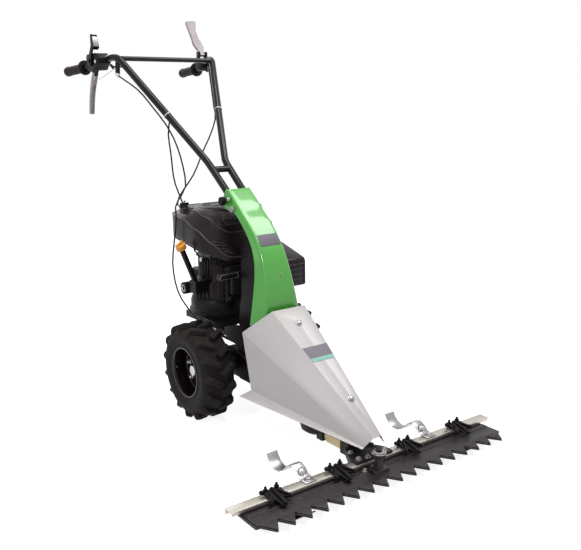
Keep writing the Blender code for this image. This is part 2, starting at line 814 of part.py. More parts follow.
def make_crank_housing():
    """Round housing with the crank inside, open to the front for the lever, flanged for the neck."""
    y = KNIFE_CRANK_Y
    profile = [
        (0, 0.201),
        (0.022, 0.201),
        (0.022, 0.128),
        (0.056, 0.124),
        (0.0565, 0.070),
        (0.052, 0.050),
        (0.040, 0.041),
        (0, 0.038),
    ]
    housing = turned("crank_housing", profile, (0, y, 0), "Z", "black_paint", steps=28)
    half = SIDE_PLATE_INNER - GAP
    arms = box("housing_arms", (-half, y - 0.020, 0.1252), (half, y + 0.020, 0.190))
    flange = box("neck_flange", (-0.030, y - 0.0575, 0.032), (0.030, y - 0.030, 0.0655))
    rear = box("housing_rear", (-0.036, y + 0.01, 0.1270), (0.036, y + 0.065, 0.1935))
    unite(housing, arms, flange, rear)
    hollow = rod("housing_hollow", (0, y, 0.050), (0, y, 0.113), 0.0500, sides=28)
    mouth = box("lever_mouth", (-0.045, y - 0.1, 0.068), (0.045, y, 0.1125))
    bore = rod("crank_bore", (0, y, 0.08), (0, y, 0.25), 0.0107, sides=16, turn=0.05)
    neck = rod("neck_bore", (0, y - 0.1, 0.048), (0, y - 0.0455, 0.048), 0.0138, sides=16)
    return cut(housing, hollow, mouth, bore, neck)


def make_crank_shaft():
    y, z = KNIFE_CRANK_Y, KNIFE_BELT_Z
    profile = [(0, z + 0.011), (0.014, z + 0.011), (0.014, z + 0.0068)]
    profile += pulley_groove(z, KNIFE_GROOVE)
    profile += [(0.0095, z - 0.0068), (0.0095, 0.1100), (0.0400, 0.1100), (0.0400, 0.0985), (0, 0.0985)]
    shaft = turned("crank_shaft", profile, (0, y, 0), "Z", "shaft_steel", steps=24)
    pin = rod("crank_pin", (CRANK_THROW, y, 0.089), (CRANK_THROW, y, 0.102), 0.007, sides=14)
    unite(shaft, pin)
    hang(pivot("crank_line", (0, y, 0.2)), shaft)


def make_idler():
    """Flat arm that swings in the belt plane and tightens the knife belt from inside."""
    spot = Vector((-0.008, -0.300, 0.2015))
    roller = Vector((0.0150, -0.212, 0))
    along = roller - Vector((spot.x, spot.y, 0))
    side = Vector((-along.y, along.x, 0)).normalized()
    outline = []
    for centre, radius, start in ((Vector((spot.x, spot.y, 0)), 0.011, 0), (roller, 0.009, math.pi)):
        for i in range(7):
            angle = start + math.pi * i / 6
            out = side * math.cos(angle) - along.normalized() * math.sin(angle)
            outline.append((centre.x + out.x * radius, centre.y + out.y * radius))
    arm = plate("idler_arm", [outline], 0.004, "shaft_steel", "XY", 0.2050)
    post = rod("idler_post", (spot.x, spot.y, 0.1925), (spot.x, spot.y, 0.2090), 0.0045, sides=12)
    hub = rod("idler_hub", (spot.x, spot.y, 0.1993), (spot.x, spot.y, 0.2090), 0.009, sides=16)
    wheel = rod("idler_roller", (roller.x, roller.y, 0.2060), (roller.x, roller.y, 0.2270), 0.0130, sides=20)
    unite(arm, post, hub, wheel)
    hang(pivot("idler_line", spot), arm)


def make_carrier():
    """Neck, head and plate that hold the cutter bar, with the lever's pivot pin and the four bolts."""
    neck = rod("bar_carrier", (0, -0.560, 0.048), (0, -0.452, 0.048), 0.0130, "black_paint", 16)
    head = box("carrier_head", (-0.030, -0.575, 0.028), (0.030, -0.5395, 0.0700))
    outline = [(-0.030, -0.560), (0.030, -0.560), (0.066, -0.625)]
    outline += [(0.066, -0.6565), (-0.066, -0.6565), (-0.066, -0.625)]
    deck = plate("carrier_deck", [outline], 0.0065, None, "XY", RAIL_TOP + GAP + 0.00325)
    flanges = []
    for hand in (-1, 1):
        side = (
            (hand * 0.024, -0.565),
            (hand * 0.030, -0.562),
            (hand * 0.066, -0.6245),
            (hand * 0.060, -0.6245),
        )
        flanges.append(plate("carrier_flange", [side], 0.020, None, "XY", 0.038))
    post = rod("pivot_post", (0, LEVER_PIVOT_Y, 0.060), (0, LEVER_PIVOT_Y, LEVER_LOW - GAP), 0.013, sides=16)
    pin = rod("pivot_pin", (0, LEVER_PIVOT_Y, 0.060), (0, LEVER_PIVOT_Y, 0.090), 0.0080, sides=16)
    top = LEVER_LOW + LEVER_THICKNESS + GAP
    bolt = rod("pivot_top", (0, LEVER_PIVOT_Y, top), (0, LEVER_PIVOT_Y, top + 0.007), 0.0125, sides=6)
    bolts = []
    for x, y in ((-0.048, -0.640), (-0.020, -0.646), (0.020, -0.646), (0.048, -0.640)):
        bolts.append(rod("carrier_bolt", (x, y, 0.048), (x, y, 0.0575), 0.0065, sides=6))
    return unite(neck, head, deck, *flanges, post, pin, bolt, *bolts)


def make_sleeve():
    profile = ((0.0255, 0.036), (0.0255, -0.036), (0.0133, -0.036), (0.0133, 0.036))
    return turned("neck_sleeve", profile, (0, -0.4975, 0.048), "Y", "sleeve_brass", steps=24, closed=True)


def make_lever():
    """Two-armed lever: it meets the crank pin's circle at the rear and the knife pin in front."""
    z = LEVER_LOW + LEVER_THICKNESS / 2
    front, rear = -LEVER_REACH, KNIFE_CRANK_Y - LEVER_PIVOT_Y
    wide = 0.013
    outline = [(wide, rear + 0.010), (wide, 0.012), (0.017, 0.0), (wide, front + 0.004)]
    for angle in (0, -0.6, -1.2, -1.94, -2.54, -math.pi):
        outline.append((wide * math.cos(angle), front - 0.009 + wide * math.sin(angle)))
    outline += [(-wide, front + 0.004), (-0.017, 0.0), (-wide, 0.012), (-wide, rear + 0.010)]
    slot = []
    half = KNIFE_PIN_RADIUS + 0.0006
    for i in range(9):
        angle = math.pi * i / 8
        slot.append((half * math.cos(angle), front + 0.0030 + half * math.sin(angle)))
    for i in range(9):
        angle = math.pi + math.pi * i / 8
        slot.append((half * math.cos(angle), front - 0.0010 + half * math.sin(angle)))
    hole = circle((0, 0), 0.0084, 16)
    lever = plate("drive_lever", [outline, slot, hole], LEVER_THICKNESS, "cast_iron", "XY", 0)
    line = pivot("lever_line", (0, LEVER_PIVOT_Y, z))
    lever.parent = line
    lever.matrix_parent_inverse = Matrix.Identity(4)
    lever.location = (0, 0, 0)
    lever.rotation_mode = "XYZ"
    lever.rotation_euler = (0, 0, -LEVER_SWING)
    return lever


def comb_outline(tip_y, root_y, rear_y, end_half, half_top):
    """Saw-tooth outline of a comb from above. Every second valley is a hair shallower: neighbours in one
    line would upset the Boolean that joins the comb to its other pieces."""
    half_count = TOOTH_COUNT // 2
    points = [(-end_half, rear_y), (-end_half, root_y + 0.001)]
    points.append((-(half_count + 0.5) * TOOTH_PITCH, root_y))
    for i in range(TOOTH_COUNT):
        middle = (i - half_count) * TOOTH_PITCH
        points.append((middle - half_top, tip_y))
        points.append((middle + half_top, tip_y))
        points.append((middle + TOOTH_PITCH / 2, root_y + 0.0005 * (i % 2)))
    points.append((end_half, root_y + 0.001))
    points.append((end_half, rear_y))
    return points


def make_knife():
    level = 0.0302
    outline = comb_outline(-0.7625, -0.7255, -0.6635, 0.4400, 0.0012)
    blade = plate("knife", [outline], 0.003, "comb_steel", "XY", level)
    spine = box("knife_spine", (-0.437, -0.684, 0.0302), (0.437, -0.6655, 0.0340))
    x, y = -KNIFE_STROKE / 2, LEVER_PIVOT_Y - LEVER_REACH * math.cos(LEVER_SWING)
    head = box("knife_head", (x - 0.026, y - 0.016, 0.0306), (x + 0.026, y + 0.018, 0.0430))
    neck = rod("knife_post", (x, y, 0.040), (x, y, LEVER_LOW - 0.0005), 0.012, sides=16)
    pin = rod("knife_pin", (x, y, 0.070), (x, y, 0.096), KNIFE_PIN_RADIUS, sides=16)
    top = LEVER_LOW + LEVER_THICKNESS + 0.0005
    washer = rod("knife_washer", (x, y, top), (x, y, top + 0.003), 0.0145, sides=16)
    nut = rod("knife_nut", (x, y, top + 0.002), (x, y, top + 0.0095), 0.0090, sides=6)
    return unite(blade, spine, head, neck, pin, washer, nut)


# Cutter bar


def make_bar():
    half = RAIL_HALF_LENGTH
    outline = comb_outline(TOOTH_TIP_Y, TOOTH_ROOT_Y, -0.6290, 0.4445, 0.0015)
    comb = plate("finger_bar", [outline], 0.006, "comb_steel", "XY", 0.0254)
    section = (
        (-0.6600, 0.0345),
        (-0.6600, RAIL_TOP),
        (-0.6280, RAIL_TOP),
        (-0.6280, 0.0288),
        (-0.6305, 0.0288),
        (-0.6305, RAIL_TOP - 0.0025),
        (-0.6575, RAIL_TOP - 0.0025),
        (-0.6575, 0.0345),
    )
    rail = plate("bar_rail", [section], half * 2, "rail_zinc", "YZ", 0)
    wedge = box("rail_spacer", (-half + 0.03, -0.6560, 0.0288), (half - 0.03, -0.6300, 0.0430))
    unite(rail, wedge)
    for side, word in ((-1, "right"), (1, "left")):
        profile = ((-0.738, 0.0195), (-0.716, 0.0016), (-0.646, 0.0016), (-0.620, 0.0110), (-0.606, 0.0205))
        skid = strip(f"skid_{word}", profile, side * 0.300, 0.052, 0.003, "black_paint")
        lug = box("skid_lug", (side * 0.300 - 0.012, -0.690, 0.002), (side * 0.300 + 0.012, -0.660, 0.0221))
        unite(skid, lug)
        crop = (
            (-0.6560, 0.0470),
            (-0.6320, 0.0470),
            (-0.6200, 0.0510),
            (-0.6070, 0.0640),
            (-0.5920, 0.0710),
            (-0.5760, 0.0670),
            (-0.5620, 0.0540),
            (-0.5480, 0.0400),
            (-0.5310, 0.0310),
            (-0.5120, 0.0300),
            (-0.4950, 0.0370),
            (-0.4820, 0.0490),
            (-0.4745, 0.0620),
        )
        x = side * 0.2235
        guide = strip(f"crop_strip_{word}", crop, x, 0.036, 0.0028, "bright_zinc")
        foot = rod("foot_bolt", (x, -0.643, 0.046), (x, -0.643, 0.0545), 0.0065, sides=6)
        lean = Vector((0, -0.75, 0.66)).normalized()
        spot = Vector((x, -0.6135, 0.0575))
        high = rod("hump_bolt", spot - lean * 0.003, spot + lean * 0.0085, 0.0070, sides=6)
        unite(guide, foot, high)
    for i, x in enumerate((-0.337, -0.1275, 0.1275, 0.337)):
        make_clip(f"knife_clip_{i + 1}", x)


def make_clip(name, x):
    """Three prongs over the knife, leaning down to the front, and a stud with its nut behind."""
    outline = [
        (-0.026, -0.012),
        (-0.040, -0.030),
        (-0.032, -0.034),
        (-0.014, -0.022),
        (-0.008, -0.050),
        (0.008, -0.050),
        (0.014, -0.022),
        (0.032, -0.034),
        (0.040, -0.030),
        (0.026, -0.012),
        (0.026, 0.010),
        (-0.026, 0.010),
    ]
    clip = plate(name, [outline], 0.004, "black_paint", "XY", 0)
    lean = math.radians(13)
    clip.location = (x, -0.6500, 0.0518)
    clip.rotation_euler = (lean, 0, 0)
    foot = box("clip_foot", (x - 0.022, -0.6500, RAIL_TOP + GAP), (x + 0.022, -0.6300, 0.0530))
    stud = rod("clip_stud", (x + 0.017, -0.6350, 0.050), (x + 0.017, -0.6350, 0.0680), 0.0038, sides=10)
    nut = rod("clip_nut", (x + 0.017, -0.6350, 0.0520), (x + 0.017, -0.6350, 0.0610), 0.0072, sides=6)
    return unite(clip, foot, stud, nut)


# Engine


def rounded_outline(half_x, low_y, high_y, radius, stations, steps=5):
    """A rounded rectangle seen from above, anticlockwise, with its height read from the stations."""
    points = []
    corners = ((1, high_y - radius), (-1, high_y - radius), (-1, low_y + radius), (1, low_y + radius))
    for quarter, (sign, y) in enumerate(corners):
        x = sign * (half_x - radius)
        for i in range(steps + 1):
            angle = math.pi / 2 * (quarter + i / steps)
            spot_y = y + radius * math.sin(angle)
            points.append((x + radius * math.cos(angle), spot_y, slope(spot_y, stations)))
    return points


def slope(y, stations):
    """Height at y, read between (y, z) stations that run forwards."""
    if y >= stations[0][0]:
        return stations[0][1]
    for (y_one, z_one), (y_two, z_two) in zip(stations[:-1], stations[1:]):
        if y >= y_two:
            return z_one + (z_two - z_one) * (y_one - y) / (y_one - y_two)
    return stations[-1][1]


def shroud_solid(name, inset, finish_name=None):
    """The shroud's outside as a closed solid, or its inside when inset by the sheet."""
    low = ((0.280, 0.580), (0.191, 0.5655), (0.061, 0.548), (-0.010, 0.528), (-0.030, 0.508))
    crease = ((0.200, 0.645), (0.120, 0.637), (0.036, 0.608), (-0.011, 0.560), (-0.030, 0.522))
    ridge = ((0.100, 0.6655), (0.0317, 0.642), (0.002, 0.598))
    top = ((0.100, 0.6685), (0.0317, 0.645), (0.002, 0.601))
    rings = (
        (0.080, 0.035, 0.230, 0.060, top, -inset),
        (0.115, 0.002, 0.255, 0.080, ridge, -inset),
        (0.148, -0.030, 0.280, 0.099, crease, -inset),
        (0.148, -0.030, 0.280, 0.099, low, -inset * 12),
    )
    build = bmesh.new()
    levels = []
    for half_x, low_y, high_y, radius, stations, lift in rings:
        ring = rounded_outline(half_x - inset, low_y + inset, high_y - inset, radius - inset, stations)
        levels.append([build.verts.new((x, y, z + lift)) for x, y, z in ring])
    count = len(levels[0])
    for upper, lower in zip(levels[:-1], levels[1:]):
        for i in range(count):
            after = (i + 1) % count
            build.faces.new((upper[i], lower[i], lower[after], upper[after]))
    for level, flip in ((levels[0], False), (levels[-1], True)):
        left = level[count // 4 : 3 * count // 4]
        right = [level[count // 4 - 1 - i] for i in range(count // 2)]
        for i in range(count // 2 - 1):
            corners = (right[i], left[i], left[i + 1], right[i + 1])
            build.faces.new(tuple(reversed(corners)) if flip else corners)
    bmesh.ops.recalc_face_normals(build, faces=build.faces)
    mesh = bpy.data.meshes.new(name)
    build.to_mesh(mesh)
    build.free()
    return place(name, mesh, finish_name)


def make_shroud():
    """Blower shroud: a skirt, a sloping crease, a rounded top that drops forward, and the flat starter."""
    shroud = shroud_solid("blower_shroud", 0.0, "engine_black")
    dome = [(0, 0.6745), (0.058, 0.6735), (0.076, 0.6715), (STARTER_RADIUS, 0.6665)]
    dome += [(STARTER_RADIUS, 0.600), (0, 0.600)]
    starter = turned("starter_dome", dome, (0, ENGINE_Y, 0), "Z", None, steps=24)
    unite(shroud, starter)
    low, high = Vector((0, ENGINE_Y, 0.550)), Vector((0, ENGINE_Y, 0.6535))
    hollow = rod("starter_hollow", low, high, STARTER_RADIUS - 0.008, sides=24, turn=0.07)
    cut(shroud, shroud_solid("shroud_inside", 0.0025), hollow)
    bracket = box("cable_bracket", (-0.132, 0.177, 0.630), (-0.098, 0.180, 0.686))
    clamp = box("cable_clamp", (-0.126, 0.170, 0.654), (-0.101, 0.1905, 0.678))
    guide = rod("rope_guide", ROPE_EYE, ROPE_EYE + STARTER_AXIS * 0.014, 0.009, sides=12)
    return unite(shroud, bracket, clamp, guide)


def make_crankcase():
    profile = (
        (0, 0.5040),
        (BLOWER_BASE_RADIUS, 0.5040),
        (BLOWER_BASE_RADIUS, 0.5005),
        (0.071, 0.4985),
        (0.071, 0.430),
        (0.078, 0.424),
        (0.090, 0.408),
        (0.092, 0.366),
        (0.100, 0.360),
        (0.106, 0.345),
        (0.106, 0.318),
        (0.112, 0.314),
        (0.112, DECK_TOP + GAP),
        (0, DECK_TOP + GAP),
    )
    case = turned("crankcase", profile, (0, ENGINE_Y, 0), "Z", "engine_black", steps=28)
    boss = rod("breather_boss", (-0.060, 0.172, 0.394), (-0.136, 0.172, 0.394), 0.021, sides=16)
    bolt = rod("boss_bolt", (-0.130, 0.172, 0.394), (-0.142, 0.172, 0.394), 0.008, sides=6)
    filler = rod("dipstick_tube", dipstick_spot(-0.150), DIPSTICK_TOP, 0.0095, sides=14)
    seat = box("filler_seat", (-0.128, 0.100, 0.385), (-0.060, 0.140, 0.428))
    posts = []
    for x, y in circle((0, ENGINE_Y), 0.0895, 3, math.radians(100)):
        roof = 0.6590 if y > 0.1 else 0.6520
        posts.append(rod("post_foot", (x, y, 0.5007), (x, y, 0.5038), 0.0085, sides=12))
        posts.append(rod("shroud_post", (x, y, 0.502), (x, y, roof), 0.0040, sides=8))
    unite(case, boss, bolt, filler, seat, *posts)
    bore = rod("shaft_bore", (0, ENGINE_Y, 0.29), (0, ENGINE_Y, 0.52), CRANKSHAFT_RADIUS + 0.0005, sides=18)
    stick = rod("dipstick_bore", dipstick_spot(-0.130), dipstick_spot(0.01), 0.0052, sides=10)
    return cut(case, bore, stick)


def dipstick_spot(distance):
    """A point on the dipstick's line, measured up from the tube's mouth."""
    return DIPSTICK_TOP + DIPSTICK_AXIS * distance


def make_dipstick():
    cap = rod("dipstick", dipstick_spot(GAP), dipstick_spot(0.016), 0.0175, "cap_yellow", 18)
    wing = box("cap_wing", (-0.003, -0.015, -0.002), (0.003, 0.015, 0.011))
    wing.location = dipstick_spot(0.018)
    wing.rotation_mode = "QUATERNION"
    wing.rotation_quaternion = DIPSTICK_AXIS.to_track_quat("Z", "Y")
    stick = rod("stick", dipstick_spot(-0.120), dipstick_spot(0.004), 0.0030, sides=8)
    return unite(cap, wing, stick)


def make_cylinder():
    """Finned cylinder that points forwards, with its head."""
    barrel = box("cylinder", (-0.048, -0.010, 0.370), (0.048, 0.0555, 0.480), "engine_black")
    fins = []
    for i in range(5):
        y = 0.0 + i * 0.0105
        fins.append(box("fin", (-0.095, y, 0.368), (0.088, y + 0.0035, 0.496)))
    head = box("cylinder_head", (-0.080, -0.0235, 0.374), (0.070, -0.006, 0.492))
    plug = rod("spark_plug", (0.045, -0.020, 0.440), (0.062, -0.048, 0.455), 0.008, sides=10)
    return unite(barrel, *fins, head, plug)


def make_engine_rest():
    box("rocker_cover", (-0.072, -0.0420, 0.400), (0.020, -0.0238, 0.478), "engine_black", 0.006, 2)
    cleaner_side = [(-0.088, 0.405), (-0.088, 0.494), (-0.078, 0.502)]
    cleaner_side += [(0.075, 0.544), (0.086, 0.534), (0.086, 0.405)]
    cleaner = plate("air_cleaner", [cleaner_side], 0.096, "engine_black", "YZ", 0.148)
    soften(cleaner, 0.010, 2)
    neck = rod("intake_neck", (0.089, 0.030, 0.450), (0.110, 0.030, 0.450), 0.014, sides=14)
    unite(cleaner, neck)
    cut(cleaner, box("shroud_room", (0.05, -0.0335, 0.5050), (0.1510, 0.2, 0.6)))
    muffler = box("muffler", (-0.028, 0.2625, 0.335), (0.057, 0.325, 0.430), "engine_black", 0.014, 2)
    pipe = rod("exhaust_pipe", (0.035, 0.300, 0.350), (0.052, 0.338, 0.335), 0.010, sides=12)
    port = rod("exhaust_port", (0.020, 0.2425, 0.380), (0.020, 0.270, 0.380), 0.012, sides=14)
    unite(muffler, pipe, port)
    tank = box("fuel_tank", (0.070, 0.2150, 0.430), (0.150, 0.345, 0.5400), "engine_black", 0.016, 2)
    filler = rod("tank_neck", (0.110, 0.322, 0.530), (0.110, 0.322, 0.5530), 0.016, sides=16)
    foot = box("tank_foot", (0.0600, 0.2200, 0.4185), (0.140, 0.330, 0.435))
    unite(tank, filler, foot)
    hollow = rod("tank_mouth", (0.110, 0.322, 0.500), (0.110, 0.322, 0.560), 0.012, sides=16)
    cut(tank, hollow)
    cap = [(0, 0.570), (0.019, 0.570), (0.021, 0.566), (0.021, 0.5534)]
    cap += [(0.0105, 0.5534), (0.0105, 0.543), (0, 0.543)]
    turned("fuel_cap", cap, (0.110, 0.322, 0), "Z", "engine_black", steps=20)


def make_crankshaft():
    z = WHEEL_BELT_Z
    profile = [(0, 0.585), (CRANKSHAFT_RADIUS, 0.585), (CRANKSHAFT_RADIUS, z + 0.0068)]
    profile += pulley_groove(z, ENGINE_GROOVE) + pulley_groove(KNIFE_BELT_Z, ENGINE_GROOVE)
    profile += [(0.010, KNIFE_BELT_Z - 0.0068), (0.010, 0.206), (0, 0.206)]
    shaft = turned("crankshaft", profile, (0, ENGINE_Y, 0), "Z", "shaft_steel", steps=22)
    wheel = (
        (0.083, 0.565),
        (0.083, 0.545),
        (0.030, 0.540),
        (CRANKSHAFT_RADIUS + GAP, 0.540),
        (CRANKSHAFT_RADIUS + GAP, 0.565),
    )
    flywheel = turned("flywheel", wheel, (0, ENGINE_Y, 0), "Z", "cast_iron", steps=24, closed=True)
    hang(pivot("crankshaft_line", (0, ENGINE_Y, 0.4)), shaft, flywheel)


def make_starter_handle():
    start = ROPE_EYE + STARTER_AXIS * 0.0155
    middle = start + STARTER_AXIS * 0.014
    half = Vector((0.036, 0, 0))
    grip = rod("starter_handle", start, start + STARTER_AXIS * 0.016, 0.010, "grip_rubber", 14)
    bar = rod("handle_bar", middle - half, middle + half, 0.0085, sides=12)
    return unite(grip, bar)


# Handlebar


def handle_route(side):
    half = (HANDLE_FOOT, HANDLE_LOW_BEND, HANDLE_TOP_BEND, GRIP_START, GRIP_END)
    points = [mirror_x(p, side) for p in half]
    lower = bend(points[:3], 0.11, 4)
    upper = bend(points[1:4], 0.060, 5)
    axis = (Vector(points[4]) - Vector(points[3])).normalized()
    end = Vector(points[4]) - axis * 0.010
    return lower[:-1] + upper[1:-1] + [Vector(points[3]), end]


def point_on_bar(side, y):
    """A point on the handlebar's middle line at y, above the lower bend."""
    route = handle_route(side)
    for one, two in zip(route[:-1], route[1:]):
        if one.y <= y <= two.y:
            return one.lerp(two, (y - one.y) / (two.y - one.y))
    return route[-1]


def make_bar_tube(side, word):
    route = handle_route(side)
    solid = as_mesh(tube(f"handlebar_{word}", route, TUBE_RADIUS, "black_gloss", 4))
    first = route[0] + (route[0] - route[1]) * 0.2
    last = route[-1] + (route[-1] - route[-2]) * 0.2
    bore = as_mesh(tube("tube_bore", [first] + route[1:-1] + [last], TUBE_BORE, None, 2))
    inner, outer = side * 0.0170, side * 0.0410
    eye = rod("pivot_eye", (inner, TILT_Y, TILT_Z), (outer, TILT_Y, TILT_Z), 0.0150, sides=16)
    bolt = rod("pivot_bore", (-0.1, TILT_Y, TILT_Z), (0.1, TILT_Y, TILT_Z), 0.0062, sides=12)
    cut(solid, bore)
    unite(solid, eye)
    return cut(solid, bolt)


def make_grip(side, word):
    start, end = Vector(mirror_x(GRIP_START, side)), Vector(mirror_x(GRIP_END, side))
    length = (end - start).length
    clear = TUBE_RADIUS + GAP
    profile = [
        (0, length),
        (0.0130, length),
        (0.0180, length - 0.004),
        (0.0180, length - 0.016),
        (GRIP_RADIUS, length - 0.020),
        (GRIP_RADIUS, 0.012),
        (0.0265, 0.006),
        (0.0265, 0.0),
        (clear, 0.0),
        (clear, length - 0.009),
        (0, length - 0.009),
    ]
    grip = turned(f"grip_{word}", profile, start, end - start, "grip_rubber", steps=18)
    return grip


def make_bar_cutter(side):
    """The handlebar tube with running clearance, to cut what meets it."""
    return as_mesh(tube("bar_clearance", handle_route(side), TUBE_RADIUS + GAP, None, 4))


def make_controls(tilt):
    across = point_on_bar(1, 0.4740) + Vector((-0.004, 0, 0.0055))
    bar = rod("crossbar", mirror_x(across, -1), across, CROSSBAR_RADIUS, "black_gloss", 14)
    cut(bar, make_bar_cutter(-1), make_bar_cutter(1))
    low = point_on_bar(1, 0.122)
    lower = rod("lower_cross_tube", mirror_x(low, -1), low, LOWER_CROSS_RADIUS, "black_gloss", 14)
    cut(lower, make_bar_cutter(-1), make_bar_cutter(1))
    hang(tilt, bar, lower)

    right = make_right_housing()
    left = make_left_housing()
    hang(tilt, right, left)


def make_right_housing():
    """Housing on the right tube: the throttle turns on its outer face, the clutch lever on its ear."""
    side = (
        (0.556, 1.1850),
        (0.560, 1.1880),
        (0.625, 1.1870),
        (0.634, 1.1800),
        (0.634, 1.1330),
        (0.612, 1.1260),
        (0.596, 1.1100),
        (0.583, 1.1090),
        (0.576, 1.1190),
        (0.552, 1.1405),
        (0.530, 1.1530),
        (0.528, 1.1720),
    )
    housing = plate("control_housing_right", [side], 0.052, "black_paint", "YZ", -0.2185)
    soften(housing, 0.004, 2)
    screw = rod("throttle_axle", (-0.240, *THROTTLE_SPOT), (-0.2535, *THROTTLE_SPOT), 0.0048, sides=12)
    head = rod("throttle_screw", (-0.2530, *THROTTLE_SPOT), (-0.2555, *THROTTLE_SPOT), 0.0075, sides=12)
    unite(housing, screw, head)
    low_y, low_z = CLUTCH_SPOT
    waste = []
    for one, two in ((-0.250, CLUTCH_X - EAR_HALF), (CLUTCH_X + EAR_HALF, -0.180)):
        low, high = (one, low_y - 0.040, low_z - 0.020), (two, low_y + 0.040, low_z + 0.0135)
        waste.append(box("ear_side", low, high))
    one, two = CLUTCH_X - 0.02, CLUTCH_X + 0.02
    bore = rod("ear_bore", (one, low_y, low_z), (two, low_y, low_z), 0.0036, sides=12)
    return cut(housing, *waste, bore, make_bar_cutter(-1))


def blade_outline(base, tip, widths, sway):
    """Outline of a lever blade: widths are half widths along it, sway bends its middle line."""
    base, tip = Vector(base), Vector(tip)
    along = tip - base
    across = Vector((-along.y, along.x)).normalized()
    left, right = [], []
    last = len(widths) - 1
    for i, half in enumerate(widths):
        share = i / last
        middle = base + along * share + across * sway * math.sin(math.pi * share)
        left.append(tuple(middle + across * half))
        right.append(tuple(middle - across * half))
    return left + list(reversed(right))


def make_levers(tilt):
    clutch = make_blade(
        "clutch_lever",
        (CLUTCH_X, CLUTCH_SPOT[0] - 0.002, CLUTCH_SPOT[1] + 0.0065),
        (0.6467, 0.9770),
        (0.0065, 0.0095, 0.0085, 0.0070, 0.0065, 0.0065, 0.0060, 0.0045),
        0.010,
        0.0180,
    )
    clear = EAR_HALF + 0.0004
    slot_low = (CLUTCH_X - clear, CLUTCH_SPOT[0] - 0.03, CLUTCH_SPOT[1] - 0.0200)
    slot_high = (CLUTCH_X + clear, CLUTCH_SPOT[0] + 0.03, CLUTCH_SPOT[1] + 0.0200)
    one, two = (CLUTCH_X - 0.0100, *CLUTCH_SPOT), (CLUTCH_X + 0.0100, *CLUTCH_SPOT)
    pin = rod("clutch_pin", one, two, 0.0032, sides=12)
    cut(clutch, box("ear_slot", slot_low, slot_high))
    unite(clutch, pin)
    hang_from_bar(tilt, "clutch_lever_line", (CLUTCH_X, *CLUTCH_SPOT), clutch)

    spot = (-0.2491, *THROTTLE_SPOT)
    inner, outer = (-0.2458, *THROTTLE_SPOT), (-0.2524, *THROTTLE_SPOT)
    throttle = rod("throttle_lever", inner, outer, 0.0165, "black_paint", 20)
    stalk = make_blade("throttle_stalk", spot, (0.5580, 1.2100), (0.012, 0.010, 0.008), 0, 0.0066)
    pad = plate("throttle_pad", [THROTTLE_PAD], 0.0240, None, "YZ", -0.2405)
    soften(pad, 0.0015, 1)
    unite(throttle, stalk, pad)
    low, high = (-0.26, *THROTTLE_SPOT), (-0.24, *THROTTLE_SPOT)
    cut(throttle, rod("throttle_bore", low, high, 0.0052, sides=12))
    hang_from_bar(tilt, "throttle_lever_line", spot, throttle)

    left = plate("left_lever", [LEFT_BLADE], 0.0110, "lever_alloy", "XY", 0.0)
    soften(left, 0.0020, 1)
    left = as_mesh(left)
    left.rotation_euler = (LEFT_LEAN, 0, 0)
    left.location = (LEFT_X, *LEFT_SPOT)
    one, two = (LEFT_X - 0.0215, *LEFT_SPOT), (LEFT_X + 0.0215, *LEFT_SPOT)
    unite(left, rod("left_pin", one, two, 0.0032, sides=12))
    hang_from_bar(tilt, "left_lever_line", (LEFT_X, *LEFT_SPOT), left)


def make_blade(name, spot, tip, widths, sway, width):
    """A bar along the line from spot to tip, seen from the side with the given half widths."""
    outline = blade_outline(spot[1:], tip, widths, sway)
    blade = plate(name, [outline], width, "lever_alloy", "YZ", spot[0])
    soften(blade, 0.0020, 1)
    return blade


def hang_from_bar(tilt, name, spot, *pieces):
    """Hangs pieces from a joint empty that itself hangs from the handlebar's line."""
    line = pivot(name, spot)
    hang(line, *pieces)
    line.location = line.location - tilt.location
    line.parent = tilt


def make_left_housing():
    """Clamp on the left tube, with two ears that carry the lever and a stop for its cable."""
    spot = point_on_bar(1, 0.590)
    low = spot + Vector((-0.020, -0.030, -0.024))
    high = spot + Vector((0.020, 0.028, 0.020))
    housing = box("control_clamp_left", low, high, "black_paint", 0.007, 2)
    ears = []
    for hand in (-1, 1):
        one, two = sorted((LEFT_X + hand * 0.0132, LEFT_X + hand * 0.0182))
        low = (one, LEFT_SPOT[0] - 0.011, spot.z + 0.010)
        ears.append(box("left_ear", low, (two, LEFT_SPOT[0] + 0.011, LEFT_SPOT[1] + 0.009)))
    end = spot + Vector((-0.011, -0.050, -0.026))
    stop = rod("left_cable_stop", spot + Vector((-0.011, -0.026, -0.014)), end, 0.006, sides=10)
    unite(housing, *ears, stop)
    low, high = Vector((LEFT_X - 0.03, *LEFT_SPOT)), Vector((LEFT_X + 0.03, *LEFT_SPOT))
    return cut(housing, rod("left_bore", low, high, 0.0036, sides=12), make_bar_cutter(1))


def make_knob():
    return rod("clamp_knob", (-0.0565, 0.018, 0.702), (-0.0700, 0.018, 0.702), 0.0140, "black_paint", 8)


# Cables: each outer cable whole along its real route
CABLE_RADIUS = 0.00275
CLUTCH_ROUTE = (
    (-0.1900, 0.4870, 1.1090),
    (-0.1560, 0.4000, 1.0570),
    (-0.1290, 0.3370, 0.9910),
    (-0.1130, 0.3000, 0.9490),
    (-0.1020, 0.2730, 0.9100),
    (-0.0980, 0.2500, 0.8770),
    (-0.0960, 0.2350, 0.8480),
    (-0.0950, 0.2150, 0.8060),
    (-0.0950, 0.2000, 0.7420),
    (-0.1150, 0.2000, 0.7050),
    (-0.1520, 0.1700, 0.6800),
    (-0.1630, 0.1500, 0.6350),
    (-0.1640, 0.1650, 0.5720),
    (-0.1650, 0.1850, 0.4900),
    (-0.1600, 0.1860, 0.4250),
    (-0.1450, 0.1850, 0.3680),
    (-0.1260, 0.1640, 0.3230),
    (-0.1120, 0.1220, 0.2850),
    (-0.1000, 0.0000, 0.2390),
    (-0.0840, -0.0700, 0.2250),
    (-0.0760, -0.1200, 0.2050),
    (-0.0760, -0.1590, 0.1930),
)
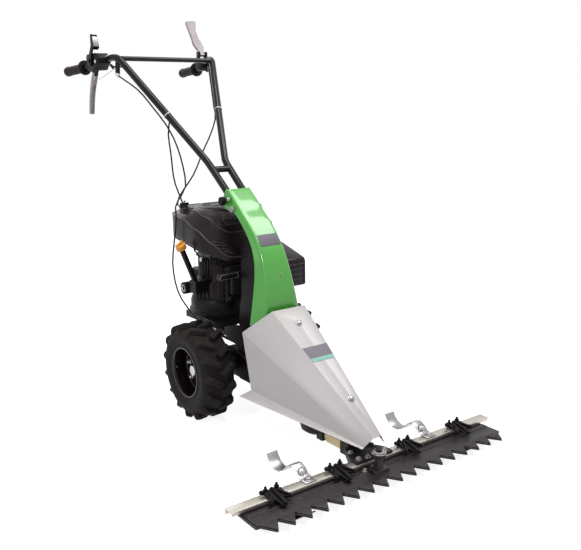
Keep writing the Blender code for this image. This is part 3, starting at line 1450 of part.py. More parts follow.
THROTTLE_ROUTE = (
    (-0.1080, 0.2850, 0.9100),
    (-0.1130, 0.2620, 0.8400),
    (-0.1150, 0.2440, 0.7570),
    (-0.1080, 0.2120, 0.6930),
    (-0.1070, 0.1930, 0.6680),
)
STOP_ROUTE = (
    (0.0500, 0.2730, 0.9020),
    (0.0100, 0.2560, 0.8510),
    (-0.0500, 0.2240, 0.7730),
    (-0.1000, 0.2380, 0.7020),
    (-0.1200, 0.2180, 0.6730),
    (-0.1200, 0.1930, 0.6675),
)


def beside_bar(side, y_values, offset):
    """Points that keep a fixed offset from the handlebar's middle line."""
    shift = Vector((side * offset[0], offset[1], offset[2]))
    return [point_on_bar(side, y) + shift for y in y_values]


def make_cables(tilt):
    throttle = [Vector((-0.1930, 0.5240, 1.1410))]
    throttle += beside_bar(-1, (0.460, 0.400, 0.345, 0.310), (-0.020, 0, -0.016))
    throttle += [Vector(p) for p in THROTTLE_ROUTE]
    stop = [point_on_bar(1, 0.590) + Vector((-0.0114, -0.0530, -0.0276))]
    stop += beside_bar(1, (0.480, 0.400, 0.340, 0.300), (-0.010, 0.008, -0.018))
    stop += [Vector(p) for p in STOP_ROUTE]
    made = [
        tube("clutch_cable", smooth(CLUTCH_ROUTE, 40), CABLE_RADIUS, "cable_black", 2),
        tube("throttle_cable", smooth(throttle, 22), CABLE_RADIUS, "cable_black", 2),
        tube("stop_cable", smooth(stop, 24), CABLE_RADIUS, "cable_black", 2),
    ]
    hang(tilt, *made)


def make_handlebar():
    tilt = pivot("handlebar_line", (0, TILT_Y, TILT_Z))
    for side, word in ((-1, "right"), (1, "left")):
        solid = make_bar_tube(side, word)
        if side < 0:
            stop = rod("cable_stop", (-0.1885, 0.4830, 1.1720), (-0.1905, 0.4870, 1.1120), 0.0085, sides=12)
            unite(solid, stop)
        hang(tilt, solid, make_grip(side, word))
    make_controls(tilt)
    make_levers(tilt)
    make_cables(tilt)


def build():
    clear_scene()
    make_collections()
    make_finishes()
    make_wheels()
    make_gearbox()
    make_worm_shaft()
    make_belt("knife_belt", KNIFE_BELT_Z, KNIFE_CRANK_Y, KNIFE_GROOVE)
    make_belt("wheel_belt", WHEEL_BELT_Z, WORM_Y, WHEEL_GROOVE)
    make_main_frame()
    make_column_cover()
    make_column_frame()
    make_pivot_bolt()
    make_hood()
    make_hood_bracket()
    make_crank_housing()
    make_crank_shaft()
    make_idler()
    make_carrier()
    make_sleeve()
    make_lever()
    make_knife()
    make_bar()
    make_shroud()
    make_crankcase()
    make_dipstick()
    make_cylinder()
    make_engine_rest()
    make_crankshaft()
    make_starter_handle()
    make_handlebar()
    make_knob()


build()
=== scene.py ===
import json
import math

import bpy
from mathutils import Matrix, Vector


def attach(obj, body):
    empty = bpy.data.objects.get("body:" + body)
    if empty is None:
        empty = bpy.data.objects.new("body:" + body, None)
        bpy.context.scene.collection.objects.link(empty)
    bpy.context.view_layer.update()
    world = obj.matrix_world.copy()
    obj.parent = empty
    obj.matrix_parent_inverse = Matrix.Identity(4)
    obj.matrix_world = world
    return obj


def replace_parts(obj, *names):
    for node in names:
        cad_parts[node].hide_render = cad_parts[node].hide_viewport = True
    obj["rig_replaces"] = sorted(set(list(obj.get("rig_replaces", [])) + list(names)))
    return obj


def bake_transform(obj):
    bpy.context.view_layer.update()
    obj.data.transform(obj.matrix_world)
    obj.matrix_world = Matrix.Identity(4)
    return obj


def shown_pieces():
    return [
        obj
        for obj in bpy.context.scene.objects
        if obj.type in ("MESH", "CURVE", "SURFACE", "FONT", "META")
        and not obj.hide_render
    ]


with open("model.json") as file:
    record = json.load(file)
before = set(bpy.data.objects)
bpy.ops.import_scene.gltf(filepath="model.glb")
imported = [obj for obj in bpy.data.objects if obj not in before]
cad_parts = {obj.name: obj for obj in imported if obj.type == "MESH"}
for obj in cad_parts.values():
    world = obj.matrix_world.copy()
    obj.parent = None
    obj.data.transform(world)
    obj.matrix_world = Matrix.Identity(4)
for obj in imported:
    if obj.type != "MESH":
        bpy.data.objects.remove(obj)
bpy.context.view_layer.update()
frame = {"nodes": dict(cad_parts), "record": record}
nodes = frame["nodes"]
bodyOf = {node: body for body, members in frame["record"]["behaviour"]["bodies"].items() for node in members}
slotOf = {part["node"]: part["material_slot"] for part in frame["record"]["subparts"]}
machineY = -0.02965  # the wheel axle's y; lengths in the dictionaries below are measured from the axle


# Small helpers

weldGap = 0.00002
flatAngle = math.radians(0.6)


def spot(x, y, z):
    return Vector((x, y + machineY, z))


def placed(point):
    # a tuple is measured from the axle, a Vector is in its place already
    return point if isinstance(point, Vector) else spot(*point)


def objectMode():
    if bpy.context.mode != "OBJECT":
        bpy.ops.object.mode_set(mode="OBJECT")


def grab(piece):
    objectMode()
    bpy.ops.object.select_all(action="DESELECT")
    piece.select_set(True)
    bpy.context.view_layer.objects.active = piece


def startEdit(piece):
    grab(piece)
    bpy.ops.object.mode_set(mode="EDIT")
    bpy.ops.mesh.select_all(action="SELECT")


def named(name):
    objectMode()
    piece = bpy.context.active_object
    piece.name = name
    piece.data.name = name
    return piece


def applyPlace(piece):
    grab(piece)
    bpy.ops.object.transform_apply(location=True, rotation=True, scale=True)
    return piece


def applyModifiers(piece):
    grab(piece)
    for modifier in list(piece.modifiers):
        bpy.ops.object.modifier_apply(modifier=modifier.name)
    return piece


def bevelled(piece, width, segments=2, angle=30):
    bevel = piece.modifiers.new("edges", "BEVEL")
    bevel.width = width
    bevel.segments = segments
    bevel.limit_method = "ANGLE"
    bevel.angle_limit = math.radians(angle)
    return applyModifiers(piece)


def thickened(piece, thickness, offset=-1):
    wall = piece.modifiers.new("sheet", "SOLIDIFY")
    wall.thickness = thickness
    wall.offset = offset
    return applyModifiers(piece)


def outwards(piece):
    startEdit(piece)
    bpy.ops.mesh.remove_doubles(threshold=weldGap)
    bpy.ops.mesh.normals_make_consistent(inside=False)
    objectMode()
    return piece


def joined(pieces, name):
    objectMode()
    bpy.ops.object.select_all(action="DESELECT")
    for piece in pieces:
        piece.select_set(True)
    bpy.context.view_layer.objects.active = pieces[0]
    bpy.ops.object.join()
    return named(name)


def addBlock(name, low, high, bevel, segments=2):
    low, high = placed(low), placed(high)
    bpy.ops.mesh.primitive_cube_add(size=1, location=(low + high) / 2)
    piece = named(name)
    piece.scale = high - low
    return bevelled(applyPlace(piece), bevel, segments)


def addBlocks(rows):
    # blocks from rows of low corner, high corner, rounding and its steps
    return [addBlock("block", *row) for row in rows]


def addRod(name, start, end, radius, sides, bevel=0.0):
    start, end = placed(start), placed(end)
    bpy.ops.mesh.primitive_cone_add(
        vertices=sides,
        radius1=radius,
        radius2=radius,
        depth=(end - start).length,
        location=(start + end) / 2,
        rotation=(end - start).to_track_quat("Z", "Y").to_euler(),
    )
    piece = applyPlace(named(name))
    return bevelled(piece, bevel) if bevel else piece


def addRods(rows):
    # rods from rows of start, end, radius, sides and rounding
    return [addRod("rod", *row) for row in rows]


def addStack(foot, out, rows):
    # rods on one line, from rows of where each starts and ends, radius, sides and rounding
    return [addRod("rod", foot + out * low, foot + out * high, *row) for low, high, *row in rows]


def addTurned(name, profile, centre, axis, steps):
    # profile is a closed loop of (radius, distance along the axis)
    bpy.ops.mesh.primitive_circle_add(vertices=len(profile), radius=0.1)
    piece = named(name)
    for vertex, (radius, along) in zip(piece.data.vertices, profile):
        vertex.co = (radius, 0, along)
    startEdit(piece)
    bpy.ops.mesh.spin(steps=steps, angle=2 * math.pi, center=(0, 0, 0), axis=(0, 0, 1))
    bpy.ops.mesh.select_all(action="SELECT")
    bpy.ops.mesh.remove_doubles(threshold=weldGap)
    bpy.ops.mesh.dissolve_degenerate(threshold=0.00001)
    bpy.ops.mesh.normals_make_consistent(inside=False)
    objectMode()
    piece.rotation_mode = "QUATERNION"
    piece.rotation_quaternion = Vector(axis).to_track_quat("Z", "Y")
    piece.location = centre
    return applyPlace(piece)


def addPlate(name, outline, thickness, normal="Z", level=0.0):
    # a flat outline filled and pulled to its thickness; level is the middle of the plate
    bpy.ops.mesh.primitive_circle_add(vertices=len(outline), radius=0.1, fill_type="NGON")
    piece = named(name)
    half = thickness / 2
    for vertex, (a, b) in zip(piece.data.vertices, outline):
        vertex.co = (a, b, level - half) if normal == "Z" else (level - half, a, b)
    push = (0, 0, thickness) if normal == "Z" else (thickness, 0, 0)
    startEdit(piece)
    bpy.ops.mesh.extrude_region_move(TRANSFORM_OT_translate={"value": push})
    objectMode()
    return outwards(piece)


def addTube(name, points, radius, sides, loop=False):
    curve = bpy.data.curves.new(name, "CURVE")
    curve.dimensions = "3D"
    curve.bevel_depth = radius
    curve.bevel_resolution = sides
    curve.use_fill_caps = True
    line = curve.splines.new("POLY")
    line.points.add(len(points) - 1)
    for point, place in zip(line.points, points):
        point.co = (*placed(place), 1)
    line.use_cyclic_u = loop
    piece = bpy.data.objects.new(name, curve)
    bpy.context.scene.collection.objects.link(piece)
    grab(piece)
    bpy.ops.object.convert(target="MESH")
    return outwards(named(name))


def addSheet(name, rows):
    # an open sheet through rows of points, from a grid primitive
    across, along = len(rows[0]), len(rows)
    bpy.ops.mesh.primitive_grid_add(x_subdivisions=across - 1, y_subdivisions=along - 1, size=1)
    piece = named(name)
    for index, vertex in enumerate(piece.data.vertices):
        row, column = divmod(index, across)
        vertex.co = rows[row][column]
    return piece


def turnedCopies(piece, count, axis, centre, name):
    # copies round an axis, each with its own mesh, joined with the first
    copies = [piece]
    for i in range(1, count):
        copy = piece.copy()
        copy.data = piece.data.copy()
        bpy.context.scene.collection.objects.link(copy)
        copy.matrix_world = (
            Matrix.Translation(centre)
            @ Matrix.Rotation(2 * math.pi * i / count, 4, Vector(axis))
            @ Matrix.Translation(-Vector(centre))
        )
        copies.append(applyPlace(copy))
    return joined(copies, name)


def curveThrough(points, steps):
    # a smooth curve through vectors, steps to each stretch
    padded = [2 * points[0] - points[1], *points, 2 * points[-1] - points[-2]]
    made = []
    for a, b, c, d in zip(padded, padded[1:], padded[2:], padded[3:]):
        for i in range(steps):
            t = i / steps
            square = (2 * a - 5 * b + 4 * c - d) * t**2
            cube = (3 * b - a - 3 * c + d) * t**3
            made.append(0.5 * (2 * b + (c - a) * t + square + cube))
    made.append(points[-1])
    return made


def finishPiece(piece, body, finish, replaces=(), angle=35):
    # body is a name, or a cord's two bodies with the places where it leaves the one and meets the other; a
    # cord's bodies and places are not used, and the cord is only baked in place
    piece.data.materials.clear()
    piece.data.materials.append(finishes[finish])
    grab(piece)
    bpy.ops.object.shade_smooth_by_angle(angle=math.radians(angle))
    if isinstance(body, str):
        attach(piece, body)
    else:
        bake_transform(piece)
    for node in replaces:
        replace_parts(piece, node)


# Shader groups


def setInputs(tree, node, values):
    # values by input name or number, each a plain value or another node's output
    for socket, value in values.items():
        if isinstance(value, bpy.types.NodeSocket):
            tree.links.new(value, node.inputs[socket])
        else:
            node.inputs[socket].default_value = value


def addNode(tree, kind, values, **settings):
    node = tree.nodes.new(kind)
    for setting, value in settings.items():
        setattr(node, setting, value)
    setInputs(tree, node, values)
    return node.outputs


def addNoise(tree, vector, scale, detail, roughness=0.55):
    values = {"Vector": vector, "Scale": scale, "Detail": detail, "Roughness": roughness}
    return addNode(tree, "ShaderNodeTexNoise", values)["Fac"]


def addRange(tree, value, low, high, outLow=0.0, outHigh=1.0):
    values = {"Value": value, "From Min": low, "From Max": high, "To Min": outLow, "To Max": outHigh}
    return addNode(tree, "ShaderNodeMapRange", values)["Result"]


def addMath(tree, operation, one, two):
    return addNode(tree, "ShaderNodeMath", {0: one, 1: two}, operation=operation)[0]


def times(tree, one, two):
    return addMath(tree, "MULTIPLY", one, two)


def plus(tree, one, two):
    return addMath(tree, "ADD", one, two)


def addMix(tree, factor, one, two):
    one, two = [colour if isinstance(colour, bpy.types.NodeSocket) else (*colour, 1) for colour in (one, two)]
    return addNode(tree, "ShaderNodeMix", {0: factor, 6: one, 7: two}, data_type="RGBA")[2]


def objectPlace(tree):
    return addNode(tree, "ShaderNodeTexCoord", {})["Object"]


def newGroup(name, inputs, outputs=("Mask",)):
    # stretch and normal have a vector socket, the rest are numbers
    group = bpy.data.node_groups.new(name, "ShaderNodeTree")
    for socket, way in [(name, "INPUT") for name in inputs] + [(name, "OUTPUT") for name in outputs]:
        kind = "NodeSocketVector" if socket in ("Stretch", "Normal") else "NodeSocketFloat"
        made = group.interface.new_socket(name=socket, in_out=way, socket_type=kind)
        if way == "INPUT":
            made.default_value = inputs[socket]
    return group, group.nodes.new("NodeGroupInput").outputs, group.nodes.new("NodeGroupOutput")


def makeMottleGroup():
    # slow and fine colour drift, 0 to 1
    group, start, end = newGroup("mottle", {"Scale": 8.0, "Contrast": 1.0})
    place = objectPlace(group)
    slow = addNoise(group, place, start["Scale"], 3.0)
    fine = addNoise(group, place, times(group, start["Scale"], 9.0), 5.0, 0.65)
    both = plus(group, times(group, slow, 0.65), times(group, fine, 0.35))
    swing = times(group, addMath(group, "SUBTRACT", both, 0.5), start["Contrast"])
    setInputs(group, end, {"Mask": addRange(group, plus(group, swing, 0.5), 0.0, 1.0)})
    return group


def makeEdgeGroup():
    # rounded normal at edges, and a mask of the worn edge itself; in some finishes that mask's colour is a
    # painted edge highlight
    inputs = {"Wear": 0.5, "Height": 0.0, "Strength": 0.2}
    group, start, end = newGroup("roundedEdges", inputs, ("Mask", "Normal"))
    rounded = addNode(group, "ShaderNodeBevel", {"Radius": 0.0012}, samples=4)["Normal"]
    flat = addNode(group, "ShaderNodeNewGeometry", {})["Normal"]
    dot = addNode(group, "ShaderNodeVectorMath", {0: rounded, 1: flat}, operation="DOT_PRODUCT")["Value"]
    rough = addNoise(group, objectPlace(group), 160.0, 4.0, 0.7)
    edge = addRange(group, addMath(group, "SUBTRACT", 1.0, dot), 0.02, 0.16)
    patchyEdge = times(group, edge, addRange(group, rough, 0.42, 0.62))
    depth = {"Distance": 0.0006, "Height": start["Height"], "Strength": start["Strength"], "Normal": rounded}
    normal = addNode(group, "ShaderNodeBump", depth)["Normal"]
    setInputs(group, end, {"Mask": times(group, patchyEdge, start["Wear"]), "Normal": normal})
    return group


def makeDustGroup():
    # dust and dried grass sap that settles on what faces up
    group, start, end = newGroup("dust", {"Amount": 0.2})
    normal = addNode(group, "ShaderNodeNewGeometry", {})["Normal"]
    up = addRange(group, addNode(group, "ShaderNodeSeparateXYZ", {0: normal})["Z"], 0.2, 1.0)
    patches = addRange(group, addNoise(group, objectPlace(group), 26.0, 6.0, 0.7), 0.4, 0.75)
    setInputs(group, end, {"Mask": times(group, times(group, up, patches), start["Amount"])})
    return group


def makeStreakGroup():
    # fine streaks along one axis, as rolling or grinding leaves them
    group, start, end = newGroup("streaks", {"Stretch": (4.0, 600.0, 600.0)})
    values = {0: objectPlace(group), 1: start["Stretch"]}
    place = addNode(group, "ShaderNodeVectorMath", values, operation="MULTIPLY")["Vector"]
    setInputs(group, end, {"Mask": addRange(group, addNoise(group, place, 1.0, 5.0, 0.7), 0.25, 0.75)})
    return group


groups = {
    "mottle": makeMottleGroup(),
    "edges": makeEdgeGroup(),
    "dust": makeDustGroup(),
    "streaks": makeStreakGroup(),
}


def useGroup(tree, name, **values):
    return addNode(tree, "ShaderNodeGroup", values, node_tree=groups[name])


# Materials

plainPaint = {
    "metallic": 0.0,
    "specular": 0.4,
    "coat": 0.0,
    "coatRoughness": 0.1,
    "patch": 9.0,
    "contrast": 1.4,
    "grain": 900.0,
    "bump": 0.1,
    "wear": 0.4,
    "dust": 0.15,
    "dustColour": (0.3, 0.27, 0.22),
}
plainMetal = {
    **plainPaint,
    "metallic": 1.0,
    "specular": 0.5,
    "patch": 12.0,
    "contrast": 1.6,
    "bump": 0.12,
    "wear": 0.6,
    "stretch": (6.0, 500.0, 500.0),
}


def newMaterial(name, look):
    material = bpy.data.materials.new(name)
    material.use_nodes = True
    tree = material.node_tree
    shader = tree.nodes["Principled BSDF"]
    values = {
        "Roughness": look["roughness"][0],
        "Metallic": look["metallic"],
        "Specular IOR Level": look["specular"],
        "Coat Weight": look["coat"],
        "Coat Roughness": look["coatRoughness"],
    }
    setInputs(tree, shader, values)
    drift = useGroup(tree, "mottle", Scale=look["patch"], Contrast=look["contrast"])["Mask"]
    return material, tree, shader, drift


# the edge colour is wear, and in some finishes also a painted highlight along the edges
def wornEdges(tree, look, height):
    return useGroup(tree, "edges", Wear=look["wear"], Height=height, Strength=look["bump"])


def paint(name, dark, light, roughness, **more):
    # dark, light and edge colours (worn, and in some finishes a painted highlight), gloss range, grain size
    # and depth, dust on what faces up
    look = {**plainPaint, "worn": light, "roughness": roughness, **more}
    material, tree, shader, drift = newMaterial(name, look)
    edges = wornEdges(tree, look, addNoise(tree, objectPlace(tree), look["grain"], 3.0, 0.6))
    dust = useGroup(tree, "dust", Amount=look["dust"])["Mask"]
    colour = addMix(tree, drift, dark, light)
    colour = addMix(tree, edges["Mask"], colour, look["worn"])
    colour = addMix(tree, dust, colour, look["dustColour"])
    gloss = plus(tree, addRange(tree, drift, 0.0, 1.0, *roughness), times(tree, dust, 0.5))
    setInputs(tree, shader, {"Base Color": colour, "Roughness": gloss, "Normal": edges["Normal"]})
    finishes[name] = material


def metal(name, dark, light, roughness, **more):
    # bare or plated metal with streaks along one axis
    look = {**plainMetal, "worn": light, "roughness": roughness, **more}
    material, tree, shader, drift = newMaterial(name, look)
    streak = useGroup(tree, "streaks", Stretch=look["stretch"])["Mask"]
    edges = wornEdges(tree, look, streak)
    mixed = plus(tree, times(tree, drift, 0.6), times(tree, streak, 0.4))
    colour = addMix(tree, mixed, dark, light)
    colour = addMix(tree, edges["Mask"], colour, look["worn"])
    gloss = addRange(tree, mixed, 0.0, 1.0, *roughness)
    setInputs(tree, shader, {"Base Color": colour, "Roughness": gloss, "Normal": edges["Normal"]})
    finishes[name] = material


finishes = {}
# the lighter green edge colour is a painted highlight along the edges
paint(
    "green_paint", (0.05, 0.335, 0.032), (0.085, 0.43, 0.052), (0.26, 0.34), worn=(0.16, 0.55, 0.12),
    coat=0.8, coatRoughness=0.06, contrast=0.7, grain=260.0, bump=0.0, dust=0.04,
)
paint(
    "hood_paint", (0.44, 0.415, 0.415), (0.53, 0.505, 0.51), (0.42, 0.54), worn=(0.88, 0.87, 0.87),
    metallic=0.2, contrast=0.8, patch=14.0, grain=1400.0, bump=0.05, dust=0.05,
)
paint(
    "black_paint", (0.0045, 0.0034, 0.0038), (0.0105, 0.0082, 0.0088), (0.3, 0.44),
    worn=(0.07, 0.062, 0.062), specular=0.1, bump=0.08, dust=0.03,
)
paint(
    "black_gloss", (0.006, 0.003, 0.0036), (0.013, 0.0075, 0.0085), (0.12, 0.18),
    worn=(0.06, 0.045, 0.045), specular=0.24, wear=0.2, grain=400.0, bump=0.03, dust=0.02, coatRoughness=0.05,
)
# the pale edge colour at full strength is partly wear and partly a painted highlight along edges and creases
paint(
    "engine_plastic", (0.0085, 0.0055, 0.0072), (0.02, 0.0135, 0.017), (0.24, 0.34),
    worn=(0.26, 0.21, 0.23), specular=0.17, wear=1.0, grain=1500.0, bump=0.2, dust=0.03,
)
# a lighter copy of the black engine plastic: its colour paints highlights on beads, ribs, grille bars, slot
# lips and fin edges
paint(
    "painted_sheen_plastic", (0.036, 0.026, 0.0295), (0.068, 0.05, 0.056), (0.22, 0.32),
    worn=(0.16, 0.13, 0.145), specular=0.35, wear=0.6, grain=1500.0, bump=0.1, dust=0.03,
)
# the pale edge colour at full strength is partly wear and partly a painted highlight along the edges
paint(
    "engine_metal", (0.006, 0.005, 0.005), (0.018, 0.015, 0.015), (0.34, 0.48),
    worn=(0.22, 0.19, 0.19), specular=0.12, wear=1.0, grain=700.0, bump=0.35, dust=0.04,
)
paint(
    "cast_iron", (0.009, 0.0075, 0.0075), (0.028, 0.024, 0.023), (0.42, 0.6),
    worn=(0.14, 0.13, 0.125), specular=0.18, wear=0.6, grain=520.0, bump=0.5, dust=0.06,
)
paint(
    "tyre_rubber", (0.0085, 0.007, 0.0068), (0.0215, 0.018, 0.0172), (0.6, 0.8),
    worn=(0.045, 0.038, 0.036), specular=0.12, wear=0.6, grain=650.0, bump=0.35, dust=0.14,
    dustColour=(0.09, 0.075, 0.065),
)
paint("belt_rubber", (0.006, 0.006, 0.006), (0.014, 0.014, 0.014), (0.6, 0.8), specular=0.15, bump=0.3)
paint(
    "grip_rubber", (0.009, 0.0055, 0.0062), (0.022, 0.015, 0.016), (0.4, 0.55),
    worn=(0.05, 0.04, 0.04), specular=0.18, grain=1100.0, bump=0.3, dust=0.04,
)
paint(
    "cap_yellow", (0.7, 0.28, 0.035), (0.9, 0.43, 0.07), (0.28, 0.4),
    worn=(0.95, 0.62, 0.22), wear=0.3, grain=800.0, bump=0.08, dust=0.03,
)
paint(
    "cable_black", (0.005, 0.005, 0.005), (0.012, 0.011, 0.011), (0.32, 0.45),
    specular=0.18, wear=0.0, bump=0.05, dust=0.02,
)
paint("band_dark", (0.085, 0.072, 0.095), (0.125, 0.108, 0.135), (0.3, 0.42), wear=0.1, dust=0.03)
paint("band_violet", (0.115, 0.098, 0.125), (0.165, 0.142, 0.175), (0.34, 0.46), wear=0.1, dust=0.03)
paint("band_sea", (0.17, 0.42, 0.34), (0.25, 0.52, 0.44), (0.34, 0.46), wear=0.1, dust=0.03)
paint("ring_pale", (0.5, 0.47, 0.48), (0.72, 0.69, 0.7), (0.35, 0.5), wear=0.1, dust=0.05)
# the pale edge colour at full strength is partly ground steel on the tooth bevels and partly a painted
# highlight
metal(
    "comb_steel", (0.011, 0.0082, 0.0095), (0.036, 0.029, 0.033), (0.34, 0.52),
    worn=(0.3, 0.28, 0.29), wear=1.0, metallic=0.6, stretch=(500.0, 14.0, 500.0),
)
metal(
    "rail_zinc", (0.4, 0.36, 0.31), (0.62, 0.59, 0.54), (0.26, 0.42),
    worn=(0.8, 0.78, 0.72), metallic=0.85, stretch=(5.0, 420.0, 420.0),
)
metal(
    "bright_zinc", (0.24, 0.225, 0.235), (0.45, 0.43, 0.44), (0.24, 0.38),
    worn=(0.72, 0.7, 0.71), metallic=0.9, bump=0.03, stretch=(300.0, 9.0, 9.0),
)
metal(
    "pale_zinc", (0.62, 0.58, 0.58), (0.86, 0.83, 0.83), (0.25, 0.4), metallic=0.5, stretch=(90.0, 90.0, 90.0)
)
metal(
    "sleeve_brass", (0.36, 0.28, 0.14), (0.62, 0.52, 0.3), (0.34, 0.5), metallic=0.7,
    stretch=(260.0, 30.0, 260.0),
)
metal(
    "lever_alloy", (0.235, 0.21, 0.217), (0.29, 0.262, 0.27), (0.34, 0.44),
    worn=(0.45, 0.42, 0.43), metallic=0.85, wear=0.12, bump=0.02, stretch=(20.0, 10.0, 6.0),
)
metal("shaft_steel", (0.42, 0.42, 0.43), (0.62, 0.62, 0.63), (0.2, 0.34), stretch=(300.0, 300.0, 300.0))
print("materials made:", len(finishes))


# CAD nodes that only need a rounder, smoother skin


def copyOfNode(node, name):
    piece = bpy.data.objects.new(name, nodes[node].data.copy())
    bpy.context.scene.collection.objects.link(piece)
    grab(piece)
    bpy.ops.mesh.customdata_custom_splitnormals_clear()
    startEdit(piece)
    bpy.ops.mesh.remove_doubles(threshold=weldGap)
    bpy.ops.mesh.dissolve_limited(angle_limit=flatAngle)
    objectMode()
    return piece


def dressNode(node, bevel=0.0, segments=2, angle=35, bevelAngle=30):
    piece = copyOfNode(node, node + "_skin")
    if bevel:
        bevelled(piece, bevel, segments, bevelAngle)
    finishPiece(piece, bodyOf[node], slotOf[node], [node], angle)


# Tyres and rims

tyreSize = {
    "centreX": 0.1825,
    "axleZ": 0.1605,
    "lugs": 15,
    "lugLean": math.radians(33),
    "phase": math.radians(-7.36),
    "lugTop": 0.1588,
    "lugBase": 0.135,
    "lugHalf": (0.0125, 0.0088),
    "lugInner": -0.0295,
    "lugSteps": ((0.045, 0, 0), (0.008, 0, -0.0042), (0.006, 0, -0.013)),
    "lugEdge": 0.0026,
    "lugMiddle": 0.0265,
    "bead": (0.0794, 0.038),
    # carcass from bead to crown, as (radius, half width)
    "shape": (
        (0.0794, 0.044), (0.08, 0.048), (0.0822, 0.0506), (0.085, 0.0516), (0.088, 0.0512),
        (0.0905, 0.053), (0.0935, 0.0536), (0.0962, 0.0526), (0.1, 0.054), (0.108, 0.0564),
        (0.117, 0.0573), (0.125, 0.0566), (0.1315, 0.0538), (0.1365, 0.0488), (0.14, 0.0415),
        (0.142, 0.032), (0.1434, 0.017), (0.1438, 0.0),
    ),
}


def buildLug(hand, centre):
    # a slanted bar from the middle of the tread over the shoulder
    size = tyreSize
    low, high = size["lugHalf"]
    base, top = size["lugBase"], size["lugTop"]
    corners = ((-low, base), (low, base), (high, top), (-high, top))
    bpy.ops.mesh.primitive_circle_add(vertices=4, radius=0.1, fill_type="NGON")
    lug = named("lug")
    for vertex, (across, height) in zip(lug.data.vertices, corners):
        vertex.co = (size["lugInner"], across, height)
    startEdit(lug)
    for push in size["lugSteps"]:
        bpy.ops.mesh.extrude_region_move(TRANSFORM_OT_translate={"value": push})
    objectMode()
    outwards(lug)
    bevelled(lug, size["lugEdge"], 2, 30)
    mirror = Matrix.Diagonal((hand, 1, 1, 1))
    lean = Matrix.Rotation(hand * size["lugLean"], 4, "Z")
    slide = Matrix.Translation((hand * size["lugMiddle"], 0, 0))
    turn = Matrix.Rotation(size["phase"] + (hand > 0) * math.pi / size["lugs"], 4, "X")
    lug.matrix_world = Matrix.Translation(centre) @ turn @ slide @ lean @ mirror
    applyPlace(lug)
    return outwards(lug)


def buildTyre(side, word):
    size = tyreSize
    centre = spot(side * size["centreX"], 0, size["axleZ"])
    outer = list(size["shape"])
    radius, half = size["bead"]
    profile = outer + [(r, -x) for r, x in reversed(outer[:-1])] + [(radius, -half), (radius, half)]
    pieces = [addTurned("carcass", profile, centre, (1, 0, 0), 90)]
    for hand in (-1, 1):
        lug = buildLug(hand, centre)
        pieces.append(turnedCopies(lug, size["lugs"], (1, 0, 0), centre, "lugs"))
    tyre = joined(pieces, "tyre_dressed_" + word)
    finishPiece(tyre, "wheels", "tyre_rubber", ["tyre_" + word], 42)


rimSize = {
    "bolts": 5,
    "boltCircle": 0.043,
    "boltTurn": 0.11,
    "disc": 0.012,  # how far out the wheel disc is
    # head, washer and stud of a wheel bolt, for addStack
    "boltRods": (
        (0.0012, 0.0072, 0.0068, 6, 0.0006),
        (-0.0003, 0.0014, 0.0088, 28, 0.0003),
        (0.006, 0.0095, 0.0033, 16, 0.0005),
    ),
    # foot, bend and tip of the valve, as (distance outwards, y)
    "valve": ((0.02, 0.0762), (0.036, 0.0707), (0.046, 0.0673)),
    # rim from its outer lip round to the lip again, as (radius, distance outwards)
    "shape": (
        (0.0828, 0.0538), (0.0836, 0.0526), (0.083, 0.0512), (0.0785, 0.05), (0.0785, -0.05),
        (0.083, -0.0512), (0.0836, -0.0526), (0.0828, -0.0538), (0.0765, -0.0532), (0.076, -0.01),
        (0.0735, -0.0064), (0.064, -0.006), (0.055, 0.0055), (0.0128, 0.006), (0.0128, 0.012),
        (0.0205, 0.0122), (0.0215, 0.0136), (0.0235, 0.0136), (0.0245, 0.012), (0.054, 0.012),
        (0.057, 0.0112), (0.0635, 0.003), (0.0665, 0.0012), (0.074, 0.0016), (0.0762, 0.0042),
        (0.0765, 0.02), (0.075, 0.033), (0.075, 0.042), (0.0765, 0.049), (0.0785, 0.0532),
    ),
}


def buildRim(side, word):
    size = rimSize
    centre = spot(side * tyreSize["centreX"], 0, tyreSize["axleZ"])
    out = Vector((side, 0, 0))
    pieces = [addTurned("rim_body", size["shape"], centre, out, 72)]
    start = math.pi / 2 + size["boltTurn"]
    first = centre + out * size["disc"] + Vector((0, math.cos(start), math.sin(start))) * size["boltCircle"]
    bolt = joined(addStack(first, out, size["boltRods"]), "bolt")
    bolts = turnedCopies(bolt, size["bolts"], (1, 0, 0), centre, "wheel_bolts_" + word)
    foot, bend, tip = [centre + out * along + Vector((0, y, 0)) for along, y in size["valve"]]
    pieces += addRods(((foot, bend, 0.0032, 16, 0.0005), (bend, tip, 0.0042, 16, 0.0008)))
    rim = joined(pieces, "rim_dressed_" + word)
    finishPiece(rim, "wheels", "black_gloss", ["rim_" + word])
    finishPiece(bolts, "wheels", "shaft_steel")


for side, word in ((-1, "right"), (1, "left")):
    buildTyre(side, word)
    buildRim(side, word)
print("wheels built")


# Column cover and hood

coverSize = {
    "sheet": 0.0025,
    # rounding of edges, as (width, steps, least angle)
    "edge": (0.0005, 2, 60),
    "corner": 0.011,
    "cornerSteps": 6,
    "rowSteps": 6,
    # front face (y, z, half width) and rear edge (y, z, half width), from top to bottom
    "sections": (
        (0.012, 0.739, 0.044, 0.03, 0.714, 0.0515),
        (-0.035, 0.7, 0.0452, 0.033, 0.68, 0.052),
        (-0.06, 0.678, 0.0455, -0.032, 0.668, 0.0515),
        (-0.112, 0.635, 0.046, -0.072, 0.64, 0.052),
        (-0.159, 0.583, 0.0465, -0.118, 0.598, 0.055),
        (-0.186, 0.539, 0.048, -0.15, 0.552, 0.059),
        (-0.206, 0.481, 0.053, -0.166, 0.496, 0.065),
        (-0.22, 0.412, 0.061, -0.174, 0.415, 0.079),
        (-0.2275, 0.336, 0.07, -0.18, 0.336, 0.096),
    ),
}


def coverRows(steps):
    return curveThrough([Vector(section) for section in coverSize["sections"]], steps)


